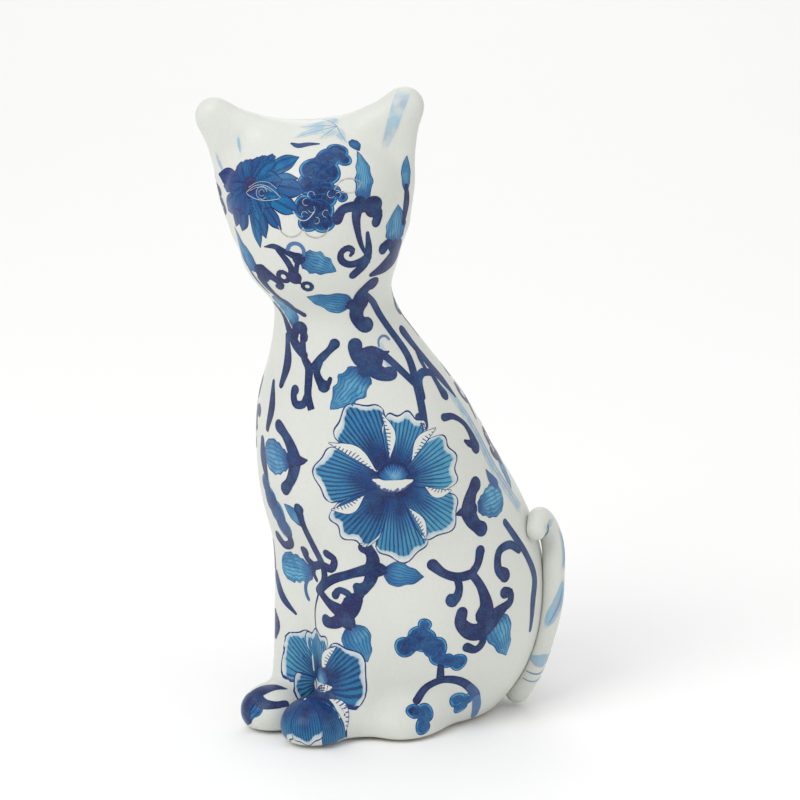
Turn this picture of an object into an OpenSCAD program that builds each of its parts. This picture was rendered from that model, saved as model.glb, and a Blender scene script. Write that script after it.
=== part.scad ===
// Seated cat figurine in glazed ceramic: a hollow body and head, luted ears, paws and tail,
// a floor with a vent hole, and four felt pads. Front is -Y, the cat's left is +X, up is +Z.
// One distance field describes the glazed surface, and every clay piece is meshed from it by rays,
// so pieces that are luted together meet on the same plane with no overlap.

/* [Body] */
// Thickness of the fired clay wall
wall = 4; // [3:0.5:5]
// Height of the seam between the body and the head
neck_z = 147; // [146:0.5:149]
// Height of a haunch's middle
haunch_z = 40; // [38:1:42]
// Half width, half depth and half height of a haunch
haunch_r = [24, 35, 37];

/* [Head] */
// Height of the head's middle
head_z = 188.5; // [187:0.5:190]
// Turn of the head to the cat's left, in degrees
head_turn = 40; // [30:1:50]
// Tilt of the head, its left ear up, in degrees
head_roll = 4.5; // [0:0.5:6]
// Nod of the head, in degrees
head_nod = 4; // [0:0.5:6]
// Half width, half depth and half height of the skull
skull_r = [30.5, 27, 21.5];
// Half width, half depth and half height of the cheeks and jaw
jaw_r = [26.5, 23, 21];
// Sideways place and height of an ear's tip, from the head's middle
ear_tip = [31.5, 24];
// Radius of an ear's tip
ear_tip_r = 5.2; // [4:0.1:6]

/* [Legs and feet] */
// Sideways place of a foreleg
leg_x = 12; // [11:0.5:13]
// Radius of a foreleg at its foot
leg_r = 11.5; // [11:0.25:12]
// Half width, half depth and half height of a forepaw
paw_r = [11, 12.5, 9];
// Half width, half depth and half height of a hind foot
hind_r = [9.5, 12.5, 8];

/* [Tail] */
// Radius of the tail at its root
tail_root_r = 4.4; // [4:0.1:5]
// Radius of the tail at its tip
tail_tip_r = 3.5; // [3:0.1:4]

/* [Base] */
// Thickness of the felt pads, which lift the foot off the table
pad_t = 1; // [0.8:0.1:2]
// Radius of a felt pad
pad_r = 6; // [4:0.5:8]
// Thickness of the floor
floor_t = 4; // [3:0.5:5]
// Radius of the vent hole in the floor
vent_r = 4; // [3:0.5:6]

/* [Hidden] */
glaze = "#E0E2DD";
clay = "#D8D2C4";
felt = "#5A5C5E";

// The body's axis lies this far behind the middle of the whole cat, which is the origin.
axis_y = 9;
foot_z = pad_t;
floor_z = foot_z + floor_t;
foot_round = 1.5;

// Cross sections of the body: height, middle along Y, half width, half depth.
body_rows = [[-6, 1, 27, 29], [1, 1.5, 30.5, 32.5], [8, 3, 34, 37], [18, 4, 37, 41], [35, 4, 40, 44],
    [60, 2, 42, 45], [76, -4, 42.5, 45], [93, -11, 41, 40], [112, -17, 36.5, 34], [130, -22.5, 28, 25.5],
    [145, -28.5, 21.5, 20], [160, -33, 21, 19], [175, -35, 22, 19]];
body_top_z = 172;
body_top_round = 12;
body_step = 2.5;

haunch_at = [20, 6.5, haunch_z];
haunch_blend = 11;
leg_foot = [leg_x, -33, 8];
leg_top = [leg_x, -30, 80];
leg_top_r = 9;
leg_blend = 8;
hind_at = [26, -19.5, 4];
hind_blend = 9;
paw_at = [10.5, -47.5, 6.5];
paw_blend = 5;

// Everything on the head is placed from its middle, along its own turned axes.
head_at = [1, -38, head_z];
head_x = turn_head([1, 0, 0]);
head_y = turn_head([0, 1, 0]);
head_up = turn_head([0, 0, 1]);
skull_at = [0, 0, -1];
jaw_at = [0, -4, -19];
jaw_blend = 8;
muzzle_at = [0, -21, -11];
muzzle_r = [10, 6, 8];
muzzle_blend = 10;
ear_tip_at = [ear_tip.x, 0, ear_tip.y];
ear_cheek_at = [20.5, 0, -12];
ear_crown_at = [8, 0, 8];
ear_flat = 1.35;
ear_blend = 6;
neck_blend = 9;

// Seams, as [outward normal, distance from the origin of the axes that they are given in].
paw_seam_n = [0, -0.817, -0.577];
paw_seam = [paw_seam_n, paw_seam_n * [0, -45, 17]];
ear_seam_n = [0.6, 0, 0.8];
ear_seam_d = 23;

// Middle line of the tail, from its root on the floor to the tip of its hook.
tail_line = [[28, 29.5, 5.4], [32.5, 31.5, 14], [36.5, 33, 26], [39, 34.5, 38], [38.5, 36, 50],
    [36.5, 37.5, 58], [35, 36, 65], [37, 30.5, 69], [40, 26, 66]];
tail_rings = 26;
tail_sides = 12;

// Points round a ring, and steps of the ray that finds the surface.
around = 48;
steps = 14;
far = 500;

// ---- Small helpers ----
function mix(a, b, t) = a + (b - a) * t;
function divide(p, q) = [p.x / q.x, p.y / q.y, p.z / q.z];
function unit(v) = v / norm(v);
function smooth_min(a, b, k) = min(a, b) - pow(max(k - abs(a - b), 0), 2) / (4 * k);
function smooth_max(a, b, k) = -smooth_min(-a, -b, k);
function cubic(t, a, b, da, db) =
    (2 * t - 3) * t * t * (a - b) + a + ((t - 2) * t + 1) * t * da + (t - 1) * t * t * db;
function turn_z(v, a) = [v.x * cos(a) - v.y * sin(a), v.x * sin(a) + v.y * cos(a), v.z];
function turn_y(v, a) = [v.x * cos(a) + v.z * sin(a), v.y, v.z * cos(a) - v.x * sin(a)];
function turn_x(v, a) = [v.x, v.y * cos(a) - v.z * sin(a), v.y * sin(a) + v.z * cos(a)];
function turn_head(v) = turn_z(turn_y(turn_x(v, head_nod), -head_roll), head_turn);

// ---- The distance field: below zero inside the glazed surface ----
function ellipsoid(p, c, r) =
    let (q = divide(p - c, r), n = norm(q))
    n * (n - 1) / max(norm(divide(q, r)), 0.000001);
function capsule(p, a, b, ra, rb) =
    let (ab = b - a, t = min(max((p - a) * ab / (ab * ab), 0), 1))
    norm(p - a - t * ab) - mix(ra, rb, t);

// A smooth curve through the body's rows, sampled finely so that a lookup is enough later.
function row_slope(i) =
    let (r = body_rows, a = max(i - 1, 0), b = min(i + 1, len(r) - 1))
    (r[b] - r[a]) / (r[b][0] - r[a][0]);
function row_at(z, i = 0) =
    z > body_rows[i + 1][0] && i < len(body_rows) - 2 ? row_at(z, i + 1)
    : let (a = body_rows[i], b = body_rows[i + 1], h = b[0] - a[0])
      cubic((z - a[0]) / h, a, b, row_slope(i) * h, row_slope(i + 1) * h);
body_samples = [for (z = [body_rows[0][0]:body_step:body_rows[len(body_rows) - 1][0]]) row_at(z)];
mid_table = [for (s = body_samples) [s[0], s[1]]];
wide_table = [for (s = body_samples) [s[0], s[2]]];
deep_table = [for (s = body_samples) [s[0], s[3]]];
function body_mid(z) = [0, lookup(z, mid_table), z];

function loft(p) =
    let (a = lookup(p.z, wide_table), b = lookup(p.z, deep_table),
        x = p.x / a, y = (p.y - lookup(p.z, mid_table)) / b, n = norm([x, y]))
    smooth_max(n * (n - 1) / max(norm([x / a, y / b]), 0.000001), p.z - body_top_z, body_top_round);
function limbs(p, d) =
    let (q = [abs(p.x), p.y, p.z],
        d1 = smooth_min(d, ellipsoid(q, haunch_at, haunch_r), haunch_blend),
        d2 = smooth_min(d1, capsule(q, leg_foot, leg_top, leg_r, leg_top_r), leg_blend),
        d3 = smooth_min(d2, ellipsoid(q, hind_at, hind_r), hind_blend))
    smooth_min(d3, ellipsoid(q, paw_at, paw_r), paw_blend);
function ear(q) =
    let (e = [q.x, q.y * ear_flat, q.z])
    smooth_min(capsule(e, ear_cheek_at, ear_tip_at, 9, ear_tip_r),
        capsule(e, ear_crown_at, ear_tip_at, 12, ear_tip_r), 5);
function head(p) =
    let (h = p - head_at, q = [abs(h * head_x), h * head_y, h * head_up],
        d1 = smooth_min(ellipsoid(q, skull_at, skull_r), ellipsoid(q, jaw_at, jaw_r), jaw_blend),
        d2 = smooth_min(d1, ellipsoid(q, muzzle_at, muzzle_r), muzzle_blend))
    smooth_min(d2, ear(q), ear_blend);
function field(p) =
    let (body = p.z < 130 ? limbs(p, loft(p)) : loft(p),
        both = p.z > 120 ? smooth_min(body, head(p), neck_blend) : body)
    p.z < 6 ? smooth_max(both, foot_z - p.z, foot_round) : both;

// ---- Rays ----
// How far along the direction d, from c, the field takes the value level.
function reach(c, d, level, r, n = steps) =
    n == 0 ? r : reach(c, d, level, r - field(c + d * r) + level, n - 1);
// How far the ray runs before a seam, moved inwards by inset.
function to_seam(c, d, seam, inset) =
    seam[0] * d > 0.001 ? (seam[1] - inset - seam[0] * c) / (seam[0] * d) : far;
function ray(c, d, seams, inset, r) =
    c + d * min([reach(c, d, -inset, r), each [for (s = seams) to_seam(c, d, s, inset)]]);
// The same seam, given along the head's axes, in the body's axes. The sign picks the ear.
function head_seam(sign) =
    let (n = ear_seam_n.x * sign * head_x + ear_seam_n.z * head_up)
    [n, ear_seam_d + n * head_at];
function other_side(seam) = [-seam[0], -seam[1]];

// ---- Meshes ----
// A solid through rings of points. With no ends the last ring joins the first.
module skin(rings, ends = []) {
    n = len(rings[0]);
    m = len(rings);
    loop = len(ends) == 0;
    sides = [for (i = [0:m - (loop ? 1 : 2)], j = [0:n - 1])
        let (a = i * n, b = (i + 1) % m * n, k = (j + 1) % n)
        each [[a + j, b + j, b + k], [a + j, b + k, a + k]]];
    caps = loop ? [] : [for (j = [0:n - 1])
        let (k = (j + 1) % n, last = (m - 1) * n)
        each [[m * n, j, k], [m * n + 1, last + k, last + j]]];
    translate([0, axis_y, 0]) polyhedron([for (r = rings) each r, each ends], concat(sides, caps));
}
// One ring of the body at height z, inset from the glazed surface.
function body_ring(z, inset) =
    [for (j = [0:around - 1]) let (a = 360 * j / around)
        ray(body_mid(z), [cos(a), sin(a), 0], [paw_seam], inset, 70)];
// A ray from the head's middle, between the seam at the neck (t = 0) and the crown (t = 1).
function head_point(rim, t, inset) =
    let (from = unit(rim - head_at), side = unit([from.x, from.y, 0]), a = mix(acos(-from.z), 180, t))
    t == 0 ? rim : ray(head_at, side * sin(a) - [0, 0, cos(a)],
        [head_seam(1), head_seam(-1)], inset, 60);
function head_rings(count, inset) =
    let (rim = body_ring(neck_z, inset))
    [for (i = [0:count - 1]) [for (p = rim) head_point(p, i / count, inset)]];
function crown(inset) = ray(head_at, [0, 0, 1], [], inset, 60);
// A small solid piece that rays from c can see all of, cut off at its seams.
module lump(c, seams, n, m) {
    rings = [for (i = [1:m - 1]) [for (j = [0:n - 1]) let (a = 360 * j / n, b = 180 * i / m)
        ray(c, [cos(a) * sin(b), sin(a) * sin(b), -cos(b)], seams, 0, 40)]];
    skin(rings, [ray(c, [0, 0, -1], seams, 0, 40), ray(c, [0, 0, 1], seams, 0, 40)]);
}
function reverse(list) = [for (i = [len(list) - 1:-1:0]) list[i]];

// ---- Pieces ----
module torso_shell() {
    outside = [for (i = [0:34]) floor_z + (neck_z - floor_z) * i / 34];
    inside = [for (i = [0:20]) floor_z + (neck_z - floor_z) * i / 20];
    color(glaze) skin(concat([for (z = outside) body_ring(z, 0)],
        [for (z = reverse(inside)) body_ring(z, wall)]));
}
module head_shell() {
    color(glaze) skin(concat(reverse(head_rings(20, 0)), head_rings(12, wall)),
        [crown(0), crown(wall)]);
}
module ear_piece(sign) {
    c = head_at + 25 * sign * head_x + 15.5 * head_up;
    color(glaze) lump(c, [other_side(head_seam(sign))], 20, 12);
}
module left_ear() {
    ear_piece(1);
}
module right_ear() {
    ear_piece(-1);
}
module forepaw(sign) {
    middle = [[-sign, 0, 0], 0];
    color(glaze) lump([sign * paw_at.x, paw_at.y + 2, paw_at.z + 1],
        [other_side(paw_seam), middle], 20, 12);
}
module left_forepaw() {
    forepaw(1);
}
module right_forepaw() {
    forepaw(-1);
}

// The tail is a round coil of clay pressed against the hip, so each ring stops at the body's surface.
function line_at(t) =
    let (p = tail_line, n = len(p), i = max(min(floor(t), n - 2), 0),
        a = max(i - 1, 0), b = min(i + 2, n - 1),
        before = (p[i + 1] - p[a]) / (i == a ? 1 : 2),
        after = (p[b] - p[i]) / (b == i + 1 ? 1 : 2))
    cubic(t - i, p[i], p[i + 1], before, after);
function stop_at_body(c, d, r, t = 0, n = 8) =
    n == 0 || t >= r ? min(t, r) : stop_at_body(c, d, r, t + field(c + d * t), n - 1);
// Towards both ends the ring is smaller, as on a round end.
function tail_ring(i, size) =
    let (t = (len(tail_line) - 1) * i / tail_rings, c = line_at(t),
        along = unit(line_at(t + 0.01) - line_at(t - 0.01)), u = unit(cross(along, [1, 1, 0])),
        v = cross(along, u), r = mix(tail_root_r, tail_tip_r, i / tail_rings) * size)
    [for (j = [0:tail_sides - 1]) let (d = cos(360 * j / tail_sides) * u + sin(360 * j / tail_sides) * v)
        c + d * stop_at_body(c, d, r)];
module tail() {
    sizes = [for (i = [0:tail_rings]) let (e = min(i, tail_rings - i)) e == 0 ? 0.55 : e == 1 ? 0.92 : 1];
    rings = [for (i = [0:tail_rings]) tail_ring(i, sizes[i])];
    root = tail_line[0];
    tip = tail_line[len(tail_line) - 1];
    color(glaze) skin(rings, [root - [0, 0, 2.5], tip + [1, -1, -2.5]]);
}

module base_plate() {
    heights = [foot_z, foot_z + 0.3, foot_z + 0.8, foot_z + 1.5, floor_z];
    color(clay) difference() {
        skin([for (z = heights) body_ring(z, 0)], [body_mid(foot_z), body_mid(floor_z)]);
        translate([0, axis_y, foot_z - 1]) cylinder(h = floor_t + 2, r = vent_r, $fn = 64);
    }
}
module pad(x, y) {
    color(felt) translate([x, y + axis_y, 0]) cylinder(h = pad_t, r = pad_r, $fn = 48);
}
module pad_front_left() {
    pad(17, -16);
}
module pad_front_right() {
    pad(-17, -16);
}
module pad_back_left() {
    pad(16, 19);
}
module pad_back_right() {
    pad(-16, 19);
}

torso_shell();
head_shell();
left_ear();
right_ear();
left_forepaw();
right_forepaw();
tail();
base_plate();
pad_front_left();
pad_front_right();
pad_back_left();
pad_back_right();
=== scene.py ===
"""Looks of a seated ceramic cat figurine.

Every clay piece is meshed from one distance field, cut at the seams where the pieces are luted, and
the blue painting lies on the glaze as thin films that follow the same field. Shapes are worked out in
mm, in the axes of the body: front is -Y, the cat's left is +X. A mesh is written in metres, moved
back by AXIS_Y, which puts the origin in the middle of the whole cat.
"""
import math
import bmesh
import bpy
import numpy as np
from mathutils import Matrix, Vector


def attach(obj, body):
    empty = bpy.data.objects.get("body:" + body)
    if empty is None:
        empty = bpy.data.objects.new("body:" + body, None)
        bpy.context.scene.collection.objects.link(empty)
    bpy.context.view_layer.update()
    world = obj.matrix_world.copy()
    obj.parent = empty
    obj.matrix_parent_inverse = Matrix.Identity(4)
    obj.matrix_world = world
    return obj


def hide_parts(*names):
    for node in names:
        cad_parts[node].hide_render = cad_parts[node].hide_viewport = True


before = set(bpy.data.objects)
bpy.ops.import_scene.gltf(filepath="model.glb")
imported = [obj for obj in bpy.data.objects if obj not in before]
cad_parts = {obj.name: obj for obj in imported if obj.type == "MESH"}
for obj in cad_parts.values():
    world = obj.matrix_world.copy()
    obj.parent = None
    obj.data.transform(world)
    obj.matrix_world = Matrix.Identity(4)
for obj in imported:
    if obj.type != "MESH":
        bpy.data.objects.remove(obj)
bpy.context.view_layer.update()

MM = 0.001
AXIS_Y = 9.0
FOOT_Z, FLOOR_Z, NECK_Z = 1.0, 5.0, 147.0
WALL = 4.0
VENT_R, VENT_ROUND = 4.0, 0.6
PAD_R, PAD_T = 6.0, 1.0
PAD_PLACES = {"pad_front_left": (17, -16), "pad_front_right": (-17, -16),
              "pad_back_left": (16, 19), "pad_back_right": (-16, 19)}


# ---- The distance field, the same as the CAD's: below zero inside the glaze ----
def unit(v):
    """Vectors scaled to a length of 1."""
    return v / np.linalg.norm(v, axis=-1, keepdims=True)


def smooth_min(a, b, k):
    """The smaller of two fields, with a soft blend of width k where they meet."""
    return np.minimum(a, b) - np.maximum(k - np.abs(a - b), 0) ** 2 / (4 * k)


def smooth_max(a, b, k):
    """The larger of two fields, with the same blend."""
    return -smooth_min(-a, -b, k)


def turned(axis, degrees):
    """The matrix of a turn about one of the axes."""
    c, s = math.cos(math.radians(degrees)), math.sin(math.radians(degrees))
    rows = {"x": [[1, 0, 0], [0, c, -s], [0, s, c]],
            "y": [[c, 0, s], [0, 1, 0], [-s, 0, c]],
            "z": [[c, -s, 0], [s, c, 0], [0, 0, 1]]}
    return np.array(rows[axis])


# Cross sections of the body: height, middle along Y, half width, half depth.
BODY_ROWS = np.array([
    (-6, 1, 27, 29), (1, 1.5, 30.5, 32.5), (8, 3, 34, 37), (18, 4, 37, 41), (35, 4, 40, 44),
    (60, 2, 42, 45), (76, -4, 42.5, 45), (93, -11, 41, 40), (112, -17, 36.5, 34),
    (130, -22.5, 28, 25.5), (145, -28.5, 21.5, 20), (160, -33, 21, 19), (175, -35, 22, 19)], float)
ROW_STEP = 2.5
BODY_TOP_Z, BODY_TOP_ROUND = 172, 12
FOOT_ROUND = 1.5

# Round parts of the body as a middle and its half sizes, mirrored in the plane x = 0. The foreleg is
# its foot, its top and the radius of each. A blend is the width over which a part runs into the rest.
HAUNCH, HAUNCH_BLEND = ((20, 6.5, 40), (24, 35, 37)), 11
FORELEG, LEG_BLEND = ((12, -33, 8), (12, -30, 80), 11.5, 9), 8
HIND_FOOT, HIND_BLEND = ((26, -19.5, 4), (9.5, 12.5, 8)), 9
PAW, PAW_BLEND = ((10.5, -47.5, 6.5), (11, 12.5, 9)), 5

# The head's parts are placed from its middle along its own axes. An ear is two capsules to its tip.
HEAD = np.array([1.0, -38, 188.5])
HEAD_AXES = turned("z", 40) @ turned("y", -4.5) @ turned("x", 4)
SKULL = ((0, 0, -1), (30.5, 27, 21.5))
JAW, JAW_BLEND = ((0, -4, -19), (26.5, 23, 21)), 8
MUZZLE, MUZZLE_BLEND = ((0, -21, -11), (10, 6, 8)), 10
EAR_TIP, EAR_TIP_R = (31.5, 0, 24), 5.2
EAR_CHEEK, EAR_CHEEK_R = (20.5, 0, -12), 9
EAR_CROWN, EAR_CROWN_R = (8, 0, 8), 12
EAR_FLAT, EAR_WEB, EAR_BLEND = 1.35, 5, 6
NECK_BLEND = 9


def hermite(u, a, b, da, db):
    """A cubic curve from a to b with slopes da and db. u runs from 0 to 1."""
    return (2 * u - 3) * u * u * (a - b) + a + ((u - 2) * u + 1) * u * da + (u - 1) * u * u * db


def body_table():
    """The body's rows, joined by a smooth curve and sampled every ROW_STEP mm of height."""
    rows, last = BODY_ROWS, len(BODY_ROWS) - 1
    z = np.arange(rows[0, 0], rows[last, 0] + 0.1, ROW_STEP)
    slope = np.array([(rows[min(i + 1, last)] - rows[max(i - 1, 0)])
                      / (rows[min(i + 1, last), 0] - rows[max(i - 1, 0), 0]) for i in range(last + 1)])
    i = np.clip(np.searchsorted(rows[:, 0], z) - 1, 0, last - 1)
    rise = (rows[i + 1, 0] - rows[i, 0])[:, None]
    u = (z - rows[i, 0])[:, None] / rise
    return hermite(u, rows[i], rows[i + 1], slope[i] * rise, slope[i + 1] * rise)


TABLE = body_table()


def body_mid(z):
    """The body's middle along Y at a height."""
    return np.interp(z, TABLE[:, 0], TABLE[:, 1])


def ellipsoid(p, centre, radii):
    """A field that is 0 on an ellipsoid and close to the distance from it nearby."""
    radii = np.array(radii, float)
    q = (p - np.array(centre, float)) / radii
    n = np.linalg.norm(q, axis=-1)
    return n * (n - 1) / np.maximum(np.linalg.norm(q / radii, axis=-1), 1e-6)


def capsule(p, a, b, radius_a, radius_b):
    """The distance from a rod with round ends and its own radius at each end."""
    a, b = np.array(a, float), np.array(b, float)
    u = np.clip((p - a) @ (b - a) / ((b - a) @ (b - a)), 0, 1)
    return np.linalg.norm(p - a - u[..., None] * (b - a), axis=-1) - (radius_a + (radius_b - radius_a) * u)


def loft(p):
    """The body without its limbs: an ellipse at each height, and a rounded top."""
    wide, deep = (np.interp(p[:, 2], TABLE[:, 0], TABLE[:, i]) for i in (2, 3))
    x, y = p[:, 0] / wide, (p[:, 1] - body_mid(p[:, 2])) / deep
    n = np.hypot(x, y)
    side = n * (n - 1) / np.maximum(np.hypot(x / wide, y / deep), 1e-6)
    return smooth_max(side, p[:, 2] - BODY_TOP_Z, BODY_TOP_ROUND)


def limbs(p, d):
    """Adds haunches, forelegs, hind feet and paws to the body's distance."""
    q = p.copy()
    q[:, 0] = np.abs(q[:, 0])
    d = smooth_min(d, ellipsoid(q, *HAUNCH), HAUNCH_BLEND)
    d = smooth_min(d, capsule(q, *FORELEG), LEG_BLEND)
    d = smooth_min(d, ellipsoid(q, *HIND_FOOT), HIND_BLEND)
    return smooth_min(d, ellipsoid(q, *PAW), PAW_BLEND)


def head(p):
    """The head with its jaw, muzzle and ears."""
    q = (p - HEAD) @ HEAD_AXES
    q[:, 0] = np.abs(q[:, 0])
    d = smooth_min(ellipsoid(q, *SKULL), ellipsoid(q, *JAW), JAW_BLEND)
    d = smooth_min(d, ellipsoid(q, *MUZZLE), MUZZLE_BLEND)
    e = q * (1, EAR_FLAT, 1)
    ear = smooth_min(capsule(e, EAR_CHEEK, EAR_TIP, EAR_CHEEK_R, EAR_TIP_R),
                     capsule(e, EAR_CROWN, EAR_TIP, EAR_CROWN_R, EAR_TIP_R), EAR_WEB)
    return smooth_min(d, ear, EAR_BLEND)


def glaze_field(p):
    """The glazed surface of body and head, with the rounded edge of the foot.

    Limbs are worked out only low down and the head only high up, where they can reach.
    """
    d = loft(p)
    low = p[:, 2] < 130
    high = p[:, 2] > 120
    foot = p[:, 2] < 6
    if low.any():
        d[low] = limbs(p[low], d[low])
    if high.any():
        d[high] = smooth_min(d[high], head(p[high]), NECK_BLEND)
    if foot.any():
        d[foot] = smooth_max(d[foot], FOOT_Z - p[foot, 2], FOOT_ROUND)
    return d


# Middle line of the tail, from its root on the floor to the tip of its hook.
TAIL_LINE = np.array([(28, 29.5, 5.4), (32.5, 31.5, 14), (36.5, 33, 26), (39, 34.5, 38), (38.5, 36, 50),
                      (36.5, 37.5, 58), (35, 36, 65), (37, 30.5, 69), (40, 26, 66)], float)
TAIL_R = (4.4, 3.5)
TAIL_GAP_ROUND = 0.7


def spline(points, u):
    """Smooth curve through points. u runs from 0 to the number of points less 1."""
    points, last = np.array(points, float), len(points) - 1
    i = np.clip(np.floor(u).astype(int), 0, last - 1)
    before, after = np.maximum(i - 1, 0), np.minimum(i + 2, last)
    da = (points[i + 1] - points[before]) / (i + 1 - before)[:, None]
    db = (points[after] - points[i]) / (after - i)[:, None]
    return hermite((u - i)[:, None], points[i], points[i + 1], da, db)


PROBE = 0.04
TAIL_POINTS = spline(TAIL_LINE, np.linspace(0, len(TAIL_LINE) - 1, 49))


def tail_field(p):
    """The tail, cut back to where the body's glaze begins."""
    d = np.full(len(p), 1e9)
    radii = np.linspace(*TAIL_R, len(TAIL_POINTS))
    for a, b, ra, rb in zip(TAIL_POINTS, TAIL_POINTS[1:], radii, radii[1:]):
        d = np.minimum(d, capsule(p, a, b, ra, rb))
    return smooth_max(d, -glaze_field(p), TAIL_GAP_ROUND)


def gradient(shape, p):
    """A field's slope along each axis, from a point PROBE mm to either side."""
    steps = PROBE * np.eye(3)
    return np.stack([(shape(p + step) - shape(p - step)) / (2 * PROBE) for step in steps], -1)


def settle(shape, p, times):
    """Moves points onto the zero level of a field."""
    for _ in range(times):
        g = gradient(shape, p)
        p = p - g * (shape(p) / np.maximum((g * g).sum(1), 1e-9))[:, None]
    return p


# ---- Meshing ----
def surface_nets(shape, lo, hi, step):
    """Vertices and quads round the zero level of a field: one vertex in each cell that it crosses."""
    lo = np.array(lo, float)
    count = np.ceil((np.array(hi, float) - lo) / step).astype(int) + 1
    x, y, z = (lo[i] + step * np.arange(count[i]) for i in range(3))
    flat = np.stack(np.meshgrid(x, y, indexing="ij"), -1).reshape(-1, 2)
    values = np.stack([shape(np.column_stack([flat, np.full(len(flat), level)])).reshape(count[:2])
                       for level in z], -1)
    inside = values < 0
    corners = [inside[i:count[0] - 1 + i, j:count[1] - 1 + j, k:count[2] - 1 + k]
               for i in (0, 1) for j in (0, 1) for k in (0, 1)]
    total = sum(c.astype(int) for c in corners)
    crossed = (total > 0) & (total < 8)
    cells = np.argwhere(crossed)
    index = np.full(crossed.shape, -1)
    index[crossed] = np.arange(len(cells))
    place, hits = np.zeros((len(cells), 3)), np.zeros(len(cells))
    quads = []
    for axis in range(3):
        others = [(axis + 1) % 3, (axis + 2) % 3]
        for corner in ((0, 0), (0, 1), (1, 0), (1, 1)):
            a = cells.copy()
            a[:, others] += corner
            b = a.copy()
            b[:, axis] += 1
            va, vb = values[tuple(a.T)], values[tuple(b.T)]
            hit = (va < 0) != (vb < 0)
            point = (a - cells).astype(float)
            point[:, axis] += np.where(hit, va / np.where(hit, va - vb, 1), 0)
            place[hit] += point[hit]
            hits[hit] += 1
        first = [slice(None)] * 3
        second = [slice(None)] * 3
        first[axis], second[axis] = slice(0, -1), slice(1, None)
        start, end = inside[tuple(first)], inside[tuple(second)]
        edges = np.argwhere(start != end)
        within = (edges[:, others] > 0).all(1) & (edges[:, others] < count[others] - 1).all(1)
        edges = edges[within]
        ring = []
        for shift in ((-1, -1), (0, -1), (0, 0), (-1, 0)):
            cell = edges.copy()
            cell[:, others] += shift
            ring.append(index[tuple(cell.T)])
        ring = np.stack(ring, 1)
        out = start[tuple(edges.T)]
        ring[~out] = ring[~out][:, ::-1]
        quads.append(ring)
    return lo + step * (cells + place / hits[:, None]), np.concatenate(quads)


# Kinds of faces on a clay piece. The glazed skin is kind 0.
CLAY_SIDE, SEAM_FACE = 1, 2
HOLLOW_STEP = 2.0


def cut_skin(shape, lo, hi, step, planes):
    """A field's surface, cut off beyond each plane (outward normal, distance from the origin)."""
    verts, quads = surface_nets(shape, lo, hi, step)
    verts = settle(shape, verts, 3)
    bm = bmesh.new()
    made = [bm.verts.new(v) for v in verts]
    for quad in quads.tolist():
        bm.faces.new([made[i] for i in quad])
    for normal, distance in planes:
        bmesh.ops.bisect_plane(bm, geom=bm.verts[:] + bm.edges[:] + bm.faces[:], dist=1e-4,
                               plane_co=np.array(normal) * distance, plane_no=normal, clear_outer=True)
    return bm


def read(items, key, width=1, kind=float):
    """One value, or a row of width values, from each vertex, face or corner of a mesh."""
    values = np.zeros(len(items) * width, kind)
    items.foreach_get(key, values)
    return values.reshape(-1, width) if width > 1 else values


def clay_mesh(name, shape, lo, hi, step, planes, hollow=None, hollow_planes=()):
    """A closed clay piece: its glazed skin, the inner wall if it is hollow, and flat seam faces."""
    bm = cut_skin(shape, lo, hi, step, planes)
    if hollow:
        inner = cut_skin(hollow, lo, hi, HOLLOW_STEP, hollow_planes)
        copies = {v: bm.verts.new(v.co) for v in inner.verts}
        for face in inner.faces:
            bm.faces.new([copies[v] for v in reversed(face.verts)]).material_index = CLAY_SIDE
        inner.free()
    for normal, distance in planes:
        rim = [e for e in bm.edges if e.is_boundary
               and all(abs(v.co.dot(Vector(normal)) - distance) < 1e-2 for v in e.verts)]
        filled = bmesh.ops.triangle_fill(bm, edges=rim, normal=Vector(normal), use_beauty=True)
        for face in (g for g in filled["geom"] if isinstance(g, bmesh.types.BMFace)):
            face.material_index = SEAM_FACE
            if face.normal.dot(Vector(normal)) < 0:
                face.normal_flip()
    mesh = bpy.data.meshes.new(name)
    bm.to_mesh(mesh)
    bm.free()
    points = read(mesh.vertices, "co", 3)
    corner = read(mesh.loops, "vertex_index", kind=int)
    sizes = read(mesh.polygons, "loop_total", kind=int)
    kinds = read(mesh.polygons, "material_index", kind=int)
    flat = read(mesh.polygons, "normal", 3)
    kind = np.repeat(kinds, sizes)
    normals = unit(gradient(shape, points))[corner]
    if hollow:
        normals[kind == CLAY_SIDE] = -unit(gradient(hollow, points))[corner][kind == CLAY_SIDE]
    seam = kind == SEAM_FACE
    normals[seam] = np.repeat(flat, sizes, 0)[seam]
    mesh.polygons.foreach_set("material_index", np.minimum(kinds, CLAY_SIDE))
    finish_mesh(mesh, points, normals)
    return mesh


def finish_mesh(mesh, points, corner_normals):
    """Writes the points in metres, in the frame's axes, and the smooth normals of the true surface."""
    mesh.vertices.foreach_set("co", ((points + (0, AXIS_Y, 0)) * MM).ravel())
    mesh.polygons.foreach_set("use_smooth", np.ones(len(mesh.polygons), bool))
    mesh.update()
    mesh.normals_split_custom_set(corner_normals.tolist())


def show(name, mesh, materials, replaced=()):
    """Puts a mesh on show as a piece of the part, in place of the CAD nodes that it replaces."""
    piece = bpy.data.objects.new(name, mesh)
    bpy.context.scene.collection.objects.link(piece)
    for material in materials:
        mesh.materials.append(material)
    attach(piece, "root")
    if replaced:
        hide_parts(*replaced)
    return piece


# ---- Materials ----
WHITE = (0.665, 0.68, 0.635)
NAVY = (0.006, 0.017, 0.088)
VIOLET = (0.020, 0.020, 0.095)
DEEP = (0.006, 0.042, 0.165)
SKY = (0.085, 0.31, 0.50)
MIST = (0.48, 0.58, 0.64)
OUTLINE = (0.012, 0.035, 0.17)
TICK = (0.012, 0.045, 0.20)
SHEEN = 0.20
COAT_ROUGHNESS = 0.22


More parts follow.
